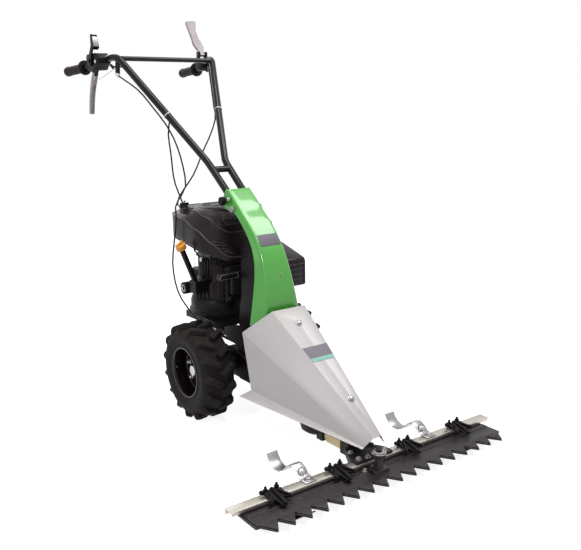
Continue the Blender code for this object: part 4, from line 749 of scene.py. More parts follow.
def coverRowPoints(section):
    size = coverSize
    y, z, half, backY, backZ, backHalf = section
    corner = size["corner"]
    left = [spot(-backHalf, backY, backZ)]
    for i in range(1, 4):
        share = i / 4
        left.append(left[0].lerp(spot(-half, y + corner, z), share))
    for i in range(size["cornerSteps"] + 1):
        angle = math.pi / 2 * i / size["cornerSteps"]
        left.append(spot(-half + corner * (1 - math.cos(angle)), y + corner * (1 - math.sin(angle)), z))
    flat = [spot((half - corner) * (i / 3 - 1), y, z) for i in (1, 2, 3)]
    right = [Vector((-p.x, p.y, p.z)) for p in reversed(left + flat[:-1])]
    return left + flat + right


def buildCover():
    rows = [coverRowPoints(section) for section in coverRows(coverSize["rowSteps"])]
    cover = addSheet("cover_sheet", rows)
    if cover.data.polygons[len(cover.data.polygons) // 2].normal.y > 0:
        startEdit(cover)
        bpy.ops.mesh.flip_normals()
        objectMode()
    bevelled(thickened(cover, coverSize["sheet"]), *coverSize["edge"])
    finishPiece(named("cover_dressed"), "machine", "green_paint", ["column_cover"], 30)


buildCover()
print("cover built")


# Plain bands, bolts and screws on the sheet metal

bandSize = {
    "lift": 0.0006,
    "sheet": 0.0004,
    "steps": 24,
    "coverLow": 0.5745,
    "coverHigh": 0.6075,
    "coverHalf": 0.0372,
    # bands on the hood, as (rear end, front end, finish)
    "hood": {"hood_band": (-0.384, -0.418, "band_violet"), "hood_stripe": (-0.4184, -0.43, "band_sea")},
    "hoodInset": 0.975,
}
boltSize = {
    "hood": (-0.306, -0.552),
    "hoodRods": ((0.0004, 0.002, 0.0105, 32, 0.0003), (0.0016, 0.0072, 0.0078, 6, 0.0007)),
    "face": (0.0106, -0.2044, 0.488),
    "faceOut": (0, -0.95, 0.33),
    "faceRods": ((-0.001, 0.0026, 0.004, 24, 0.0008),),
    "ear": (-0.05, -0.002, 0.708),
    "earRods": ((0, 0.0028, 0.0081, 28, 0.0004), (0.002, 0.0075, 0.006, 6, 0.0007)),
}


def addBand(name, rows, finish):
    band = thickened(addSheet(name, rows), bandSize["sheet"], 0)
    finishPiece(outwards(band), "machine", finish)


def buildCoverBand():
    size = bandSize
    lift, half = size["lift"], size["coverHalf"]
    rows = []
    for y, z, *_ in coverRows(size["steps"]):
        if size["coverLow"] < z < size["coverHigh"]:
            rows.append([spot(half * (i / 4 - 1), y - lift, z + lift) for i in range(9)])
    addBand("cover_band", rows, "band_dark")


hoodRear = (0.062, -0.254, 0.391)
hoodFront = (0.015, -0.664, 0.113)
hoodNormal = Vector((0, hoodFront[2] - hoodRear[2], hoodRear[1] - hoodFront[1])).normalized()


def hoodTop(share, y):
    # a point of the hood's top facet, share -1 to 1 across it
    along = (y - hoodRear[1]) / (hoodFront[1] - hoodRear[1])
    half = hoodRear[0] + (hoodFront[0] - hoodRear[0]) * along
    return spot(share * half, y, hoodRear[2] + (hoodFront[2] - hoodRear[2]) * along)


def buildHoodBands():
    size = bandSize
    for name, (rear, front, finish) in size["hood"].items():
        rows = []
        for y in (rear, (rear + front) / 2, front):
            row = [hoodTop(i / 4 - 1, y) + hoodNormal * size["lift"] for i in range(9)]
            row[0].x *= size["hoodInset"]
            row[-1].x *= size["hoodInset"]
            rows.append(row)
        addBand(name, rows, finish)


def buildSheetBolts():
    size = boltSize
    heads = []
    for y in size["hood"]:
        heads += addStack(hoodTop(0, y), hoodNormal, size["hoodRods"])
    finishPiece(joined(heads, "hood_bolt_heads"), "machine", "bright_zinc")
    screws = addStack(spot(*size["face"]), Vector(size["faceOut"]).normalized(), size["faceRods"])
    screws += addStack(spot(*size["ear"]), Vector((-1, 0, 0)), size["earRods"])
    finishPiece(joined(screws, "cover_screws"), "machine", "bright_zinc")


buildCoverBand()
buildHoodBands()
buildSheetBolts()
print("trim built")


# Blower shroud

shroudSize = {
    "sheet": 0.0025,
    "edge": (0.0012, 2, 30),
    # where extra rows lie between two rings
    "thirds": (0.33, 0.66),
    "cornerSteps": 12,
    "sideSteps": 5,
    "bead": 0.0024,
    "beadLift": 0.0004,
    "ridgeBead": 0.85,  # share of the other bead's radius
    # heights as (y, z) from the rear forwards
    "low": ((0.28, 0.58), (0.191, 0.5655), (0.061, 0.548), (-0.01, 0.528), (-0.03, 0.508)),
    "crease": ((0.2, 0.645), (0.12, 0.637), (0.036, 0.608), (-0.011, 0.56), (-0.03, 0.522)),
    "ridge": ((0.1, 0.6655), (0.0317, 0.642), (0.002, 0.598)),
    "top": ((0.1, 0.6685), (0.0317, 0.645), (0.002, 0.601)),
    "grille": ((0.1, 0.6685), (0.035, 0.6463), (0.002, 0.598)),
    # rings as half width, front y, rear y, corner radius and the heights used
    "rings": (
        (0.08, 0.035, 0.23, 0.06, "top"),
        (0.115, 0.002, 0.255, 0.08, "ridge"),
        (0.148, -0.03, 0.28, 0.099, "crease"),
        (0.148, -0.03, 0.28, 0.099, "low"),
    ),
    # slots on the sloping side, as the two ends of each
    "slots": (
        ((-0.1093, 0.0022, 0.5809), (-0.078, -0.0062, 0.5722)),
        ((-0.1061, -0.0044, 0.572), (-0.0731, -0.0113, 0.5632)),
        ((-0.0944, -0.0121, 0.5583), (-0.061, -0.0184, 0.5479)),
        ((-0.0847, -0.0171, 0.5484), (-0.0492, -0.0234, 0.5373)),
    ),
    "slotRadius": 0.0023,
    "lipDrop": 0.0035,
    "lip": 0.0019,
    "grilleRows": 7,
    "grilleColumns": 15,
    "grilleEnds": (0.088, 0.018),
    "grilleHalf": (0.056, 0.048),
    "grilleNarrow": 0.04,
    "grilleRib": ((1, 0.089), (1, 0.037), (0.92, 0.0165)),
    "grilleLift": 0.0014,
    "grilleBars": (0.0013, 0.001),  # radius across and along
}


def heightAt(y, stations):
    if y >= stations[0][0]:
        return stations[0][1]
    for (yOne, zOne), (yTwo, zTwo) in zip(stations[:-1], stations[1:]):
        if y >= yTwo:
            return zOne + (zTwo - zOne) * (yOne - y) / (yOne - yTwo)
    return stations[-1][1]


def between(one, two, steps):
    # the points that lie inside a straight stretch
    return [tuple(a + (b - a) * i / steps for a, b in zip(one, two)) for i in range(1, steps)]


def shroudRing(half, front, rear, corner, heights):
    size = shroudSize
    flat = []
    centres = ((1, rear - corner), (-1, rear - corner), (-1, front + corner), (1, front + corner))
    for quarter, (sign, y) in enumerate(centres):
        for i in range(size["cornerSteps"] + 1):
            angle = math.pi / 2 * (quarter + i / size["cornerSteps"])
            place = (sign * (half - corner) + corner * math.cos(angle), y + corner * math.sin(angle))
            if flat and i == 0:
                flat += between(flat[-1], place, size["sideSteps"])
            flat.append(place)
    flat += between(flat[-1], flat[0], size["sideSteps"]) + [flat[0]]
    return [spot(x, y, heightAt(y, size[heights])) for x, y in flat]


def blendRings(one, two, share):
    return [a.lerp(b, share) for a, b in zip(one, two)]


def buildShroudShell():
    size = shroudSize
    top, ridge, crease, low = [shroudRing(*ring) for ring in size["rings"]]
    middle = [Vector((0, point.y, point.z)) for point in top]
    rows = [middle, blendRings(middle, top, 0.5), top, ridge]
    rows += [blendRings(ridge, crease, share) for share in size["thirds"]]
    rows += [crease] + [blendRings(crease, low, share) for share in size["thirds"]] + [low]
    shell = addSheet("shroud_shell", rows)
    thickened(outwards(shell), size["sheet"])
    cutter = joined([addRod("slot", *ends, size["slotRadius"], 16) for ends in size["slots"]], "slot_cutters")
    step = shell.modifiers.new("slots", "BOOLEAN")
    step.operation = "DIFFERENCE"
    step.solver = "EXACT"
    step.object = cutter
    applyModifiers(shell)
    bpy.data.objects.remove(cutter, do_unlink=True)
    bevelled(shell, *size["edge"])
    beads = []
    for ring, share in ((crease, 1.0), (ridge, size["ridgeBead"])):
        lifted = [point + Vector((0, 0, size["beadLift"])) for point in ring[:-1]]
        beads.append(addTube("bead", lifted, size["bead"] * share, 3, True))
    # a lip below each slot, later given the lighter plastic as a painted highlight on the slot's edge
    down = Vector((0, -0.5, -1)).normalized() * size["lipDrop"]
    for start, end in size["slots"]:
        beads.append(addTube("lip", [spot(*start) + down, spot(*end) + down], size["lip"], 3))
    return [shell] + beads


engineAxis = (0, 0.15, 0)
domeSize = {
    "profile": (
        (0.0, 0.674), (0.02, 0.674), (0.0235, 0.6722), (0.03, 0.6722), (0.03, 0.669),
        (0.056, 0.669), (0.056, 0.6728), (0.062, 0.6736), (0.074, 0.6722), (0.08, 0.67),
        (0.0828, 0.6665), (0.083, 0.64), (0.0, 0.64),
    ),
    "ribs": ((0.0285, -0.0012, 0.668), (0.0575, 0.0012, 0.6726), 0.0004, 28),
    "ring": ((0.0425, 0.668), (0.0445, 0.668), (0.0445, 0.6724), (0.0425, 0.6724)),
}


def ribRing(low, high, rounding, count):
    # ribs all round the engine's upright axis
    centre = spot(*engineAxis)
    rib = addBlock("rib", centre + Vector(low), centre + Vector(high), rounding)
    return turnedCopies(rib, count, (0, 0, 1), centre, "ribs")


def buildStarterDome():
    size, centre = domeSize, spot(*engineAxis)
    dome = addTurned("dome", size["profile"], centre, (0, 0, 1), 72)
    ribs = ribRing(*size["ribs"])
    return [dome, ribs, addTurned("ring", size["ring"], centre, (0, 0, 1), 60)]


def buildGrille():
    # an air inlet of crossed bars on the shroud's sloping front
    size = shroudSize
    rows, columns = size["grilleRows"], size["grilleColumns"]
    rear, front = size["grilleEnds"]
    half, narrow = size["grilleHalf"]
    thick, thin = size["grilleBars"]
    bars = []

    def place(x, y):
        return spot(x, y, heightAt(y, size["grille"]) + size["grilleLift"])

    for i in range(rows):
        y = rear - i * (rear - front) / (rows - 1)
        reach = half if y > size["grilleNarrow"] else narrow
        bars.append(addTube("grille_bar", [place(-reach, y), place(reach, y)], thick, 2))
    for i in range(columns):
        x = -half + 2 * half * i / (columns - 1)
        ends = [place(x * share, y) for share, y in size["grilleRib"]]
        bars.append(addTube("grille_rib", ends, thin, 2))
    return bars


bracketSize = {
    "blocks": (
        ((-0.132, 0.1768, 0.64), (-0.098, 0.18, 0.686), 0.0012),
        ((-0.1265, 0.17, 0.656), (-0.1005, 0.1768, 0.677), 0.0022, 3),
        ((-0.1265, 0.18, 0.656), (-0.1005, 0.1895, 0.677), 0.0022, 3),
        ((-0.133, 0.15, 0.648), (-0.096, 0.18, 0.67), 0.003, 3),
    ),
    "hook": (((-0.115, 0.1784, 0.685), (-0.115, 0.1784, 0.69), (-0.111, 0.176, 0.6925)), 0.0022, 4),
    # places, foot and tip of the ferrules and of the screws, then radius, sides and rounding
    "ferrules": ((-0.12, -0.107), (0.188, 0.6672), (0.201, 0.669), (0.0043, 20, 0.0006)),
    "screws": (((-0.123, 0.66), (-0.104, 0.673)), 0.1705, 0.1672, (0.0036, 20, 0.0006)),
}


def buildCableBracket():
    size = bracketSize
    pieces = addBlocks(size["blocks"]) + [addTube("hook", *size["hook"])]
    places, foot, tip, form = size["ferrules"]
    pieces += addRods([((x, *foot), (x, *tip), *form) for x in places])
    places, foot, tip, form = size["screws"]
    screws = addRods([((x, foot, z), (x, tip, z), *form) for x, z in places])
    finishPiece(joined(screws, "bracket_screws"), "machine", "shaft_steel")
    return pieces


ropeSize = {
    "eye": (-0.035, 0.2785, 0.598),
    "axis": (0, 0.96, 0.28),
    "guide": ((-0.003, 0.014, 0.009, 28, 0.0015),),
    "ends": (0.006, 0.026),
    "radius": 0.0021,
    "steps": 12,
}
ropeEye, ropeAxis = spot(*ropeSize["eye"]), Vector(ropeSize["axis"])


def buildShroud():
    shell, *beads = buildShroudShell()
    dome, *ribs = buildStarterDome()
    # beads, ribs and grille bars go in the lighter plastic, whose colour paints highlights along them
    trim = joined(beads + ribs + buildGrille(), "shroud_trim")
    finishPiece(trim, "machine", "painted_sheen_plastic", (), 40)
    pieces = [shell, dome] + buildCableBracket() + addStack(ropeEye, ropeAxis, ropeSize["guide"])
    shroud = joined(pieces, "shroud_dressed")
    finishPiece(shroud, "machine", "engine_plastic", ["blower_shroud"], 32)


cleanerSize = {
    "frame": ((0.108, 0.413), (0.188, 0.413), (0.188, 0.481), (0.108, 0.481)),
    "frameFront": -0.0882,
    "frameRadius": 0.002,
    # ribs and lines, as (left, right, radius) and their places
    "ribs": ((0.112, 0.184, 0.0014), ((-0.0878, 0.43), (-0.0878, 0.447), (-0.0878, 0.464))),
    "lines": ((0.106, 0.19, 0.0017), ((-0.074, 0.4962), (-0.034, 0.513))),
}


def buildAirCleanerTrim():
    # a raised frame and ribs on the front, and lines across the sloping lid
    size = cleanerSize
    ring = [spot(x, size["frameFront"], z) for x, z in size["frame"]]
    lines = [addTube("frame", ring, size["frameRadius"], 3, True)]
    for (left, right, radius), places in (size["ribs"], size["lines"]):
        for y, z in places:
            lines.append(addTube("line", ((left, y, z), (right, y, z)), radius, 3))
    # the lighter plastic paints highlights along the frame, ribs and lines
    finishPiece(joined(lines, "air_cleaner_trim"), "machine", "painted_sheen_plastic")


def buildStarterRope():
    # a straight rope from the guide out towards the handle
    start, end = [ropeEye + ropeAxis * along for along in ropeSize["ends"]]
    steps = ropeSize["steps"]
    path = [start.lerp(end, i / steps) for i in range(steps + 1)]
    rope = addTube("starter_rope", path, ropeSize["radius"], 3)
    finishPiece(rope, ("machine", "starter", start, end), "ring_pale")


buildShroud()
buildAirCleanerTrim()
buildStarterRope()
print("shroud built")


# Cylinder, head and what hangs on them

cylinderSize = {
    "barrel": ((-0.048, -0.01, 0.37), (0.048, 0.0555, 0.48), 0.004),
    "finCount": 10,
    "finLow": (-0.095, 0.0, 0.368),
    "finHigh": (0.088, 0.0455, 0.496),
    "finCorner": (0.008, 0.01),
    "finThickness": 0.0019,
    "finEdge": (0.0005, 1),
    "edgeCount": 26,
    "edgeInset": 0.006,
    "edgeHalf": 0.0009,
    "edgeDepth": (-0.004, 0.002),
    "edgeRounding": 0.0004,
    "head": ((-0.08, -0.0235, 0.374), (0.07, -0.006, 0.492), 0.0035, 3),
    # ribs down the head's side, as count, pitch and the lowest block
    "headRibs": (6, 0.0188, ((-0.084, -0.0215, 0.386), (-0.077, -0.008, 0.389), 0.0008)),
    "plug": (
        ((0.045, -0.02, 0.44), (0.056, -0.039, 0.45), 0.0095, 6, 0.0006),
        ((0.054, -0.036, 0.448), (0.064, -0.051, 0.4565), 0.007, 24, 0.001),
    ),
    "boltFace": -0.0232,
    "headBolts": ((-0.07, 0.386), (-0.07, 0.482), (0.06, 0.386), (0.06, 0.482)),
    "boltRods": ((0, 0.0018, 0.0078, 24, 0.0003), (0.0014, 0.0068, 0.0056, 6, 0.0006)),
    "frame": ((-0.119, 0.4575), (-0.113, 0.4735), (-0.0501, 0.4743), (-0.0487, 0.458)),
    "frameFront": -0.0452,
    "frameRadius": 0.0011,
    "frameBack": ((-0.1175, -0.044, 0.456), (-0.056, -0.024, 0.476), 0.002),
}


def buildFins():
    size = cylinderSize
    low, high = size["finLow"], size["finHigh"]
    across, up = size["finCorner"]
    outline = [(low[0] + across, low[2]), (high[0] - across, low[2]), (high[0], low[2] + up)]
    outline += [(high[0], high[2] - up), (high[0] - across, high[2]), (low[0] + across, high[2])]
    outline += [(low[0], high[2] - up), (low[0], low[2] + up)]
    pitch = (high[1] - low[1]) / (size["finCount"] - 1)
    fins = []
    for i in range(size["finCount"]):
        fin = addPlate("fin", outline, size["finThickness"])
        fin.rotation_euler = (math.pi / 2, 0, 0)
        fin.location = spot(0, low[1] + pitch * i, 0)
        fins.append(bevelled(applyPlace(fin), *size["finEdge"]))
    return fins


def buildFinEdges():
    size = cylinderSize
    low, high = size["finLow"], size["finHigh"]
    inset, half = size["edgeInset"], size["edgeHalf"]
    front, rear = size["edgeDepth"]
    edges = []
    for i in range(size["edgeCount"]):
        x = low[0] + inset + (high[0] - low[0] - 2 * inset) * i / (size["edgeCount"] - 1)
        ends = (x - half, front, low[2] + inset), (x + half, rear, high[2] - inset)
        edges.append(addBlock("fin_edge", *ends, size["edgeRounding"]))
    # lighter lines down the fins, painted highlights on the fin edges
    finishPiece(joined(edges, "fin_edges"), "machine", "painted_sheen_plastic")


def buildCylinder():
    size = cylinderSize
    pieces = [addBlock("barrel", *size["barrel"])] + buildFins() + [addBlock("head", *size["head"])]
    count, pitch, (low, high, rounding) = size["headRibs"]
    for i in range(count):
        lift = Vector((0, 0, i * pitch))
        pieces.append(addBlock("head_rib", spot(*low) + lift, spot(*high) + lift, rounding))
    pieces += addRods(size["plug"])
    buildFinEdges()
    finishPiece(joined(pieces, "cylinder_dressed"), "machine", "engine_metal", ["cylinder"])
    bolts = []
    for x, z in size["headBolts"]:
        bolts += addStack(spot(x, size["boltFace"], z), Vector((0, -1, 0)), size["boltRods"])
    finishPiece(joined(bolts, "head_bolts"), "machine", "cast_iron")
    ring = [spot(x, size["frameFront"], z) for x, z in size["frame"]]
    finishPiece(addTube("frame_ring", ring, size["frameRadius"], 3, True), "machine", "lever_alloy")
    finishPiece(addBlock("frame_back", *size["frameBack"]), "machine", "engine_metal")


caseSize = {
    # ribs round the neck and the case, as (low corner, high corner, rounding, count)
    "ribs": (
        ((-0.0765, -0.0011, 0.426), (-0.07, 0.0011, 0.4985), 0.0006, 44),
        ((-0.097, -0.0012, 0.33), (-0.09, 0.0012, 0.409), 0.0006, 36),
    ),
    "tab": ((-0.0935, 0.116, 0.49), (-0.072, 0.128, 0.503), 0.0015),
    "boss": (
        ((-0.1358, 0.172, 0.394), (-0.143, 0.172, 0.394), 0.0078, 6, 0.0008),
        ((-0.1355, 0.172, 0.394), (-0.1372, 0.172, 0.394), 0.012, 28, 0.0003),
    ),
    # points, radius and roundness
    "arm": (((-0.101, 0.15, 0.53), (-0.09, 0.135, 0.502), (-0.074, 0.122, 0.485)), 0.0024, 4),
    "wire": (((-0.1002, 0.15, 0.54), (-0.1041, 0.15, 0.445)), 0.0011, 4),
}


def buildCrankcaseTrim():
    # ribs, a tab with the boss bolt, and the governor's arm and wire
    size = caseSize
    ribs = [ribRing(*row) for row in size["ribs"]]
    # the ribs go in the lighter plastic, whose colour paints highlights along them
    finishPiece(joined(ribs, "case_ribs"), "machine", "painted_sheen_plastic")
    tab = [addBlock("tab", *size["tab"])] + addRods(size["boss"])
    finishPiece(joined(tab, "case_tab"), "machine", "shaft_steel")
    wire = [addTube(part, *size[part]) for part in ("arm", "wire")]
    finishPiece(joined(wire, "governor_wire"), "machine", "cable_black")


buildCylinder()
buildCrankcaseTrim()
print("engine built")


# Handlebar: grips, rings, controls, cables

gripSize = {
    "start": (0.2323, 0.6766, 1.1428),
    "end": (0.2449, 0.8229, 1.1331),
    "bore": 0.0128,
    # each as (radius, place): from the start, in shares of the pitch, and back from the end
    "flange": ((0.0245, 0.0), (0.0265, 0.0018), (0.0265, 0.0045), (0.024, 0.0072), (0.0172, 0.01)),
    "rib": ((0.0157, 0), (0.0168, 0.25), (0.0168, 0.62), (0.0157, 0.85)),
    "close": (
        (0.0168, 0.0195), (0.0182, 0.0165), (0.0182, 0.005), (0.0165, 0.0015),
        (0.013, 0), (0.0, 0), (0.0, 0.008), (0.0128, 0.008),
    ),
    "ribs": 24,
    "ribsFrom": 0.013,
    "ribsShort": 0.034,
}


def buildGrip(side, word):
    size = gripSize
    start, end = [spot(side * x, y, z) for x, y, z in (size["start"], size["end"])]
    length = (end - start).length
    profile = [(size["bore"], 0.0), *size["flange"]]
    pitch = (length - size["ribsShort"]) / size["ribs"]
    for i in range(size["ribs"]):
        along = size["ribsFrom"] + pitch * i
        profile += [(radius, along + pitch * share) for radius, share in size["rib"]]
    profile += [(radius, length - back) for radius, back in size["close"]]
    grip = addTurned("grip_dressed_" + word, profile, start, end - start, 48)
    finishPiece(grip, "handlebar", "grip_rubber", ["grip_" + word], 40)


ringSize = {
    "along": (0.157, 0.335, 0.358),
    "places": ((-1, (-0.1017, 0.2964, 0.9723)), (1, (0.1088, 0.3115, 0.9885))),
    "profile": (
        (0.0126, -0.0022), (0.0132, -0.0022), (0.0138, -0.0014),
        (0.0138, 0.0014), (0.0132, 0.0022), (0.0126, 0.0022),
    ),
}


def buildTubeRings():
    size = ringSize
    along = Vector(size["along"]).normalized()
    rings = []
    for side, place in size["places"]:
        axis = Vector((side * along.x, along.y, along.z))
        rings.append(addTurned("tube_ring", size["profile"], spot(*place), axis, 40))
    finishPiece(joined(rings, "tube_rings"), "handlebar", "ring_pale")


controlSize = {
    # the pivot's screw, and the cable stop's nut and sleeve
    "bright": (
        ((-0.244, 0.548, 1.1585), (-0.247, 0.548, 1.1585), 0.0062, 28, 0.0008),
        ((-0.19, 0.4858, 1.1175), (-0.1906, 0.4871, 1.1085), 0.0098, 6, 0.0008),
        ((-0.1906, 0.4871, 1.1085), (-0.19096, 0.48788, 1.1031), 0.005, 20, 0.0006),
    ),
    "padFace": ((0.5536, 1.2425), (0.542, 1.2085), (0.5402, 1.2092), (0.5518, 1.2432)),
    "padTip": ((0.5568, 1.2528), (0.5546, 1.2475), (0.5532, 1.248), (0.5554, 1.2533)),
    "padWidths": (0.019, 0.02),
    "padX": -0.2402,
    "padEdge": 0.0005,
    "wire": ((-0.23, 0.56, 1.097), (-0.212, 0.527, 1.115), (-0.1915, 0.488, 1.137)),
    "wireRadius": 0.0015,
    "loop": (
        (-0.1925, 0.5877, 1.1732), (-0.1925, 0.5806, 1.1895),
        (-0.1925, 0.5593, 1.1885), (-0.1925, 0.556, 1.17),
    ),
    "loopRadius": 0.0018,
    "ferrule": ((-0.193, 0.533, 1.1462), (-0.1932, 0.516, 1.136), 0.005, 20, 0.0006),
}
leverSize = {
    "start": (-0.2275, 0.587, 1.1235),
    "fall": (-0.001, 0.0597, -0.1465),
    "out": (0, 0.926, 0.377),
    "bow": 0.01,
    # half width as its least, its swell, its taper and how fast the swell comes and goes
    "half": (0.0065, 0.0025, 0.0015, 2.2),
    "groove": (0.3, 0.65),
    "grooveRadius": 0.0013,
    "steps": 12,
}


def buildLeverGroove():
    # a line down the clutch lever, from a share of its length over another share
    size = leverSize
    start, fall, out = spot(*size["start"]), Vector(size["fall"]), Vector(size["out"])
    least, swell, taper, rate = size["half"]
    first, reach = size["groove"]
    groove = []
    for i in range(size["steps"] + 1):
        share = first + reach * i / size["steps"]
        half = least + swell * math.sin(math.pi * min(share * rate, 1.0)) - taper * share
        groove.append(start + fall * share + out * (size["bow"] * math.sin(math.pi * share) - half))
    finishPiece(addTube("lever_groove", groove, size["grooveRadius"], 3), "clutch", "cast_iron")


def buildControls():
    size = controlSize
    finishPiece(joined(addRods(size["bright"]), "control_bright"), "handlebar", "pale_zinc")
    face, tip = [
        addPlate("pad", size[part], width, "X", size["padX"])
        for part, width in zip(("padFace", "padTip"), size["padWidths"])
    ]
    pad = bevelled(joined([face, tip], "throttle_pad"), size["padEdge"])
    pad.location = spot(0, 0, 0)
    applyPlace(pad)
    finishPiece(pad, "throttle", "lever_alloy")
    wire = addTube("clutch_wire", size["wire"], size["wireRadius"], 3)
    finishPiece(wire, ("handlebar", "clutch", spot(*size["wire"][2]), spot(*size["wire"][0])), "shaft_steel")
    finishPiece(addTube("cable_loop", size["loop"], size["loopRadius"], 4), "handlebar", "pale_zinc")
    finishPiece(addRod("cable_guides", *size["ferrule"]), "handlebar", "cable_black")
    buildLeverGroove()


# the cables' two bodies and two heights, which finishPiece does not use
cableEnds = ("machine", "handlebar", (0, 0, 0.7), (0, 0, 0.96))


def buildCables():
    for word in ("clutch_cable", "throttle_cable", "stop_cable"):
        finishPiece(copyOfNode(word, word + "_dressed"), cableEnds, "cable_black", [word], 60)


for side, word in ((-1, "right"), (1, "left")):
    buildGrip(side, word)
buildTubeRings()
buildControls()
buildCables()
print("handlebar built")


# Bolts and washers of the cutter bar

barSize = {
    "hub": (-0.0254, -0.6976),
    "hub_washers": (
        (0.0862, 0.0882, 0.0205, 48, 0.0005),
        (0.088, 0.0906, 0.015, 48, 0.0005),
        (0.0905, 0.0922, 0.017, 48, 0.0005),
    ),
    "hub_nut": ((0.0918, 0.0985, 0.0096, 6, 0.0008), (0.0975, 0.1008, 0.005, 20, 0.0008)),
    # bolts as (height of the foot, radius, height of the head), and their places
    "carrier_bolts": (
        (0.0516, 0.0072, 0.0068),
        ((-0.04, -0.597), (0.04, -0.597), (-0.048, -0.64), (-0.02, -0.646), (0.02, -0.646), (0.048, -0.64)),
    ),
    "knife_bolts": ((0.0338, 0.0066, 0.006), ((-0.056, -0.676), (-0.027, -0.6745), (0.002, -0.676))),
    "guideX": 0.2235,
    # crop guides: the foot's and the hump's bolts, as (y, z, lift along the lean, radius, height, ring)
    "guideBolts": (
        (-0.643, 0.0478, 0, 0.007, 0.0068, 0.0112),
        (-0.6135, 0.0575, 0.0014, 0.0078, 0.0072, 0.0122),
    ),
    "guideRing": (-0.0004, 0.0008),
    "lean": (0, -0.75, 0.66),
    "clips": (-0.337, -0.1275, 0.1275, 0.337),
    "clipRibs": (
        ((-0.033, -0.029, 0.0032), (-0.02, -0.015, 0.0048), (-0.012, 0.004, 0.0044)),
        ((0.033, -0.029, 0.0032), (0.02, -0.015, 0.0048), (0.012, 0.004, 0.0044)),
        ((0.0, -0.048, 0.0032), (0.0, -0.024, 0.0052), (0.0, 0.006, 0.0044)),
    ),
    "clipRib": 0.0036,
    # studs behind a clip, as (x from its middle, y, height)
    "clipStuds": ((-0.017, -0.635, 0.0148), (0.0, -0.639, 0.0095), (-0.031, -0.638, 0.009)),
    "clipTilt": math.radians(13),
    "clipFoot": (-0.65, 0.0518),
    "clipNut": (0, 0.0072, 0.007, 6, 0.0006),
    "clipStud": (0.0036, 20, 0.0006),
    "clipTop": 0.0526,
}
upwards = Vector((0, 0, 1))


def addHexBolt(foot, out, radius, height):
    # washer, chamfered hexagon head and the stud's rounded end
    washer = (0, 0.0014, radius * 1.32, 32, 0.0003)
    head = (0.001, height, radius, 6, 0.0006)
    stud = (height * 0.9, height + 0.0022, radius * 0.5, 20, 0.0006)
    return addStack(foot, out, (washer, head, stud))


def buildHub():
    foot = spot(*barSize["hub"], 0)
    for name, finish in (("hub_washers", "bright_zinc"), ("hub_nut", "cast_iron")):
        finishPiece(joined(addStack(foot, upwards, barSize[name]), name), "knife_bar", finish)


def buildBarBolts():
    size = barSize
    for name, body in (("carrier_bolts", "machine"), ("knife_bolts", "knife_bar")):
        (z, radius, height), places = size[name]
        bolts = []
        for x, y in places:
            bolts += addHexBolt(spot(x, y, z), upwards, radius, height)
        finishPiece(joined(bolts, name), body, "bright_zinc")
    lean = Vector(size["lean"]).normalized()
    heads, rings = [], []
    for side in (-1, 1):
        for out, (y, z, lift, radius, height, ring) in zip((upwards, lean), size["guideBolts"]):
            foot = spot(side * size["guideX"], y, z) + out * lift
            heads += addHexBolt(foot, out, radius, height)
            rings += addStack(foot, out, ((*size["guideRing"], ring, 36),))
    finishPiece(joined(heads, "guide_bolts"), "machine", "shaft_steel")
    finishPiece(joined(rings, "guide_rings"), "machine", "cast_iron")


def buildClipTrim():
    # ribs along the prongs, all leaning with the clip, and upright studs and nuts behind
    size = barSize
    turn = Matrix.Rotation(size["clipTilt"], 4, "X")
    ribs = []
    for x in size["clips"]:
        place = Matrix.Translation(spot(x, *size["clipFoot"])) @ turn
        for path in size["clipRibs"]:
            ribs.append(addTube("clip_rib", [place @ Vector(point) for point in path], size["clipRib"], 4))
        for side, y, height in size["clipStuds"]:
            stud = (0, height, *size["clipStud"])
            ribs += addStack(spot(x + side, y, size["clipTop"]), upwards, (size["clipNut"], stud))
    finishPiece(joined(ribs, "clip_trim"), "machine", "black_paint")


buildHub()
buildBarBolts()
buildClipTrim()
print("bar trim built")


# Everything else as a smooth skin over its CAD node

skinLooks = {
    "hood": {"bevel": 0.0012, "segments": 3, "bevelAngle": 8, "angle": 30},
    "handlebar_left": {"angle": 42},
    "handlebar_right": {"angle": 42},
    "crossbar": {"angle": 42},
    "lower_cross_tube": {"angle": 42},
    "finger_bar": {"bevel": 0.0006},
    "knife": {"bevel": 0.0004},
    "bar_rail": {"bevel": 0.0005},
    "crop_strip_left": {"bevel": 0.0004, "bevelAngle": 50},
    "crop_strip_right": {"bevel": 0.0004, "bevelAngle": 50},
    "gearbox": {"bevel": 0.0012},
    "air_cleaner": {"angle": 40},
}


def dressRest():
    done = {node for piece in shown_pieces() for node in piece.get("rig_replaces", [])}
    for node in sorted(nodes):
        if node not in done:
            dressNode(node, **skinLooks.get(node, {}))


dressRest()
print("skins built")


# Camera, light and floor

cameraSize = {
    "place": (-1.3247, -2.11985, 1.0126),
    "azimuth": math.radians(-35.993),
    "elevation": math.radians(12.851),
    "roll": math.radians(-0.685),
    "lens": 47.064,
    "sensor": 36.0,
    "far": 60,
}


def addCamera():
    size = cameraSize
    a, e, r = size["azimuth"], size["elevation"], size["roll"]
    back = Vector((math.sin(a) * math.cos(e), -math.cos(a) * math.cos(e), math.sin(e)))
    flat = Vector((math.cos(a), math.sin(a), 0))
    rise = back.cross(flat)
    right = flat * math.cos(r) + rise * math.sin(r)
    up = rise * math.cos(r) - flat * math.sin(r)
    bpy.ops.object.camera_add(location=size["place"])
    camera = bpy.context.active_object
    camera.rotation_mode = "QUATERNION"
    camera.rotation_quaternion = Matrix((right, up, back)).transposed().to_quaternion()
    camera.data.lens = size["lens"]
    camera.data.sensor_width = size["sensor"]
    camera.data.clip_end = size["far"]
    bpy.context.scene.camera = camera


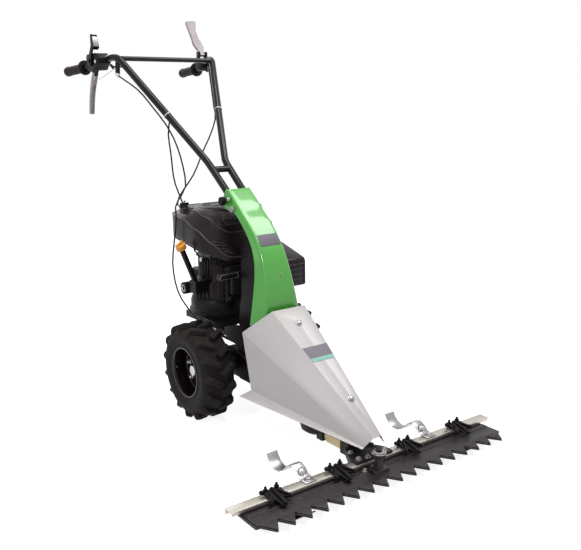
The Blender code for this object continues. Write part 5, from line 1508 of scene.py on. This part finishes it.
def addLamp(name, place, aim, width, power, length=None):
    bpy.ops.object.light_add(type="AREA", location=place)
    lamp = bpy.context.active_object
    lamp.name = name
    lamp.data.shape = "RECTANGLE"
    lamp.data.size = width
    lamp.data.size_y = length or width
    lamp.data.energy = power
    lamp.rotation_mode = "QUATERNION"
    lamp.rotation_quaternion = (Vector(aim) - Vector(place)).to_track_quat("-Z", "Y")


def seenMask(tree):
    # 1 where the camera, a reflection or a view through glass looks, else 0
    path = addNode(tree, "ShaderNodeLightPath", {})
    both = addMath(tree, "MAXIMUM", path["Is Camera Ray"], path["Is Glossy Ray"])
    return addMath(tree, "MAXIMUM", both, path["Is Transmission Ray"])


stageSize = {
    "white": (1, 1, 1, 1),
    "worldLight": 0.36,
    "worldSeen": 1.0,
    "floorSize": 60,
    "floorLevel": -0.0002,
    "floorColour": (0.55, 0.55, 0.55, 1),
    "floorGlow": 0.86,
    # lamps as (place, aim, width, power, length)
    "lamps": {
        "key": ((1.5, -0.6, 3.3), (0, -0.1, 0.4), 1.25, 36),
        "strip": ((0.2, -0.6, 3.6), (0.2, -0.55, 0.5), 1.0, 60, 2.6),
        "side": ((-3.0, -1.2, 2.0), (0, 0, 0.5), 0.42, 30),
        "back": ((0.2, 3.2, 2.6), (0, 0, 0.5), 1.8, 26),
    },
}


def emptyTree(owner):
    owner.use_nodes = True
    owner.node_tree.nodes.clear()
    return owner.node_tree


def addWorld():
    size = stageSize
    world = bpy.data.worlds.new("studio")
    bpy.context.scene.world = world
    tree = emptyTree(world)
    light = addNode(tree, "ShaderNodeBackground", {"Color": size["white"], "Strength": size["worldLight"]})
    seen = addNode(tree, "ShaderNodeBackground", {"Color": size["white"], "Strength": size["worldSeen"]})
    mix = addNode(tree, "ShaderNodeMixShader", {0: seenMask(tree), 1: light[0], 2: seen[0]})
    addNode(tree, "ShaderNodeOutputWorld", {0: mix[0]})


def addFloor():
    size = stageSize
    bpy.ops.mesh.primitive_plane_add(size=size["floorSize"], location=(0, 0, size["floorLevel"]))
    floor = named("floor")
    material = bpy.data.materials.new("floor_white")
    tree = emptyTree(material)
    matt = addNode(tree, "ShaderNodeBsdfDiffuse", {"Color": size["floorColour"]})
    strength = times(tree, seenMask(tree), size["floorGlow"])
    glow = addNode(tree, "ShaderNodeEmission", {"Color": size["white"], "Strength": strength})
    both = addNode(tree, "ShaderNodeAddShader", {0: matt[0], 1: glow[0]})
    addNode(tree, "ShaderNodeOutputMaterial", {"Surface": both[0]})
    floor.data.materials.append(material)


addCamera()
addWorld()
for name, lamp in stageSize["lamps"].items():
    addLamp(name, *lamp)
addFloor()
bpy.context.scene.view_settings.view_transform = "Standard"
print("stage set")
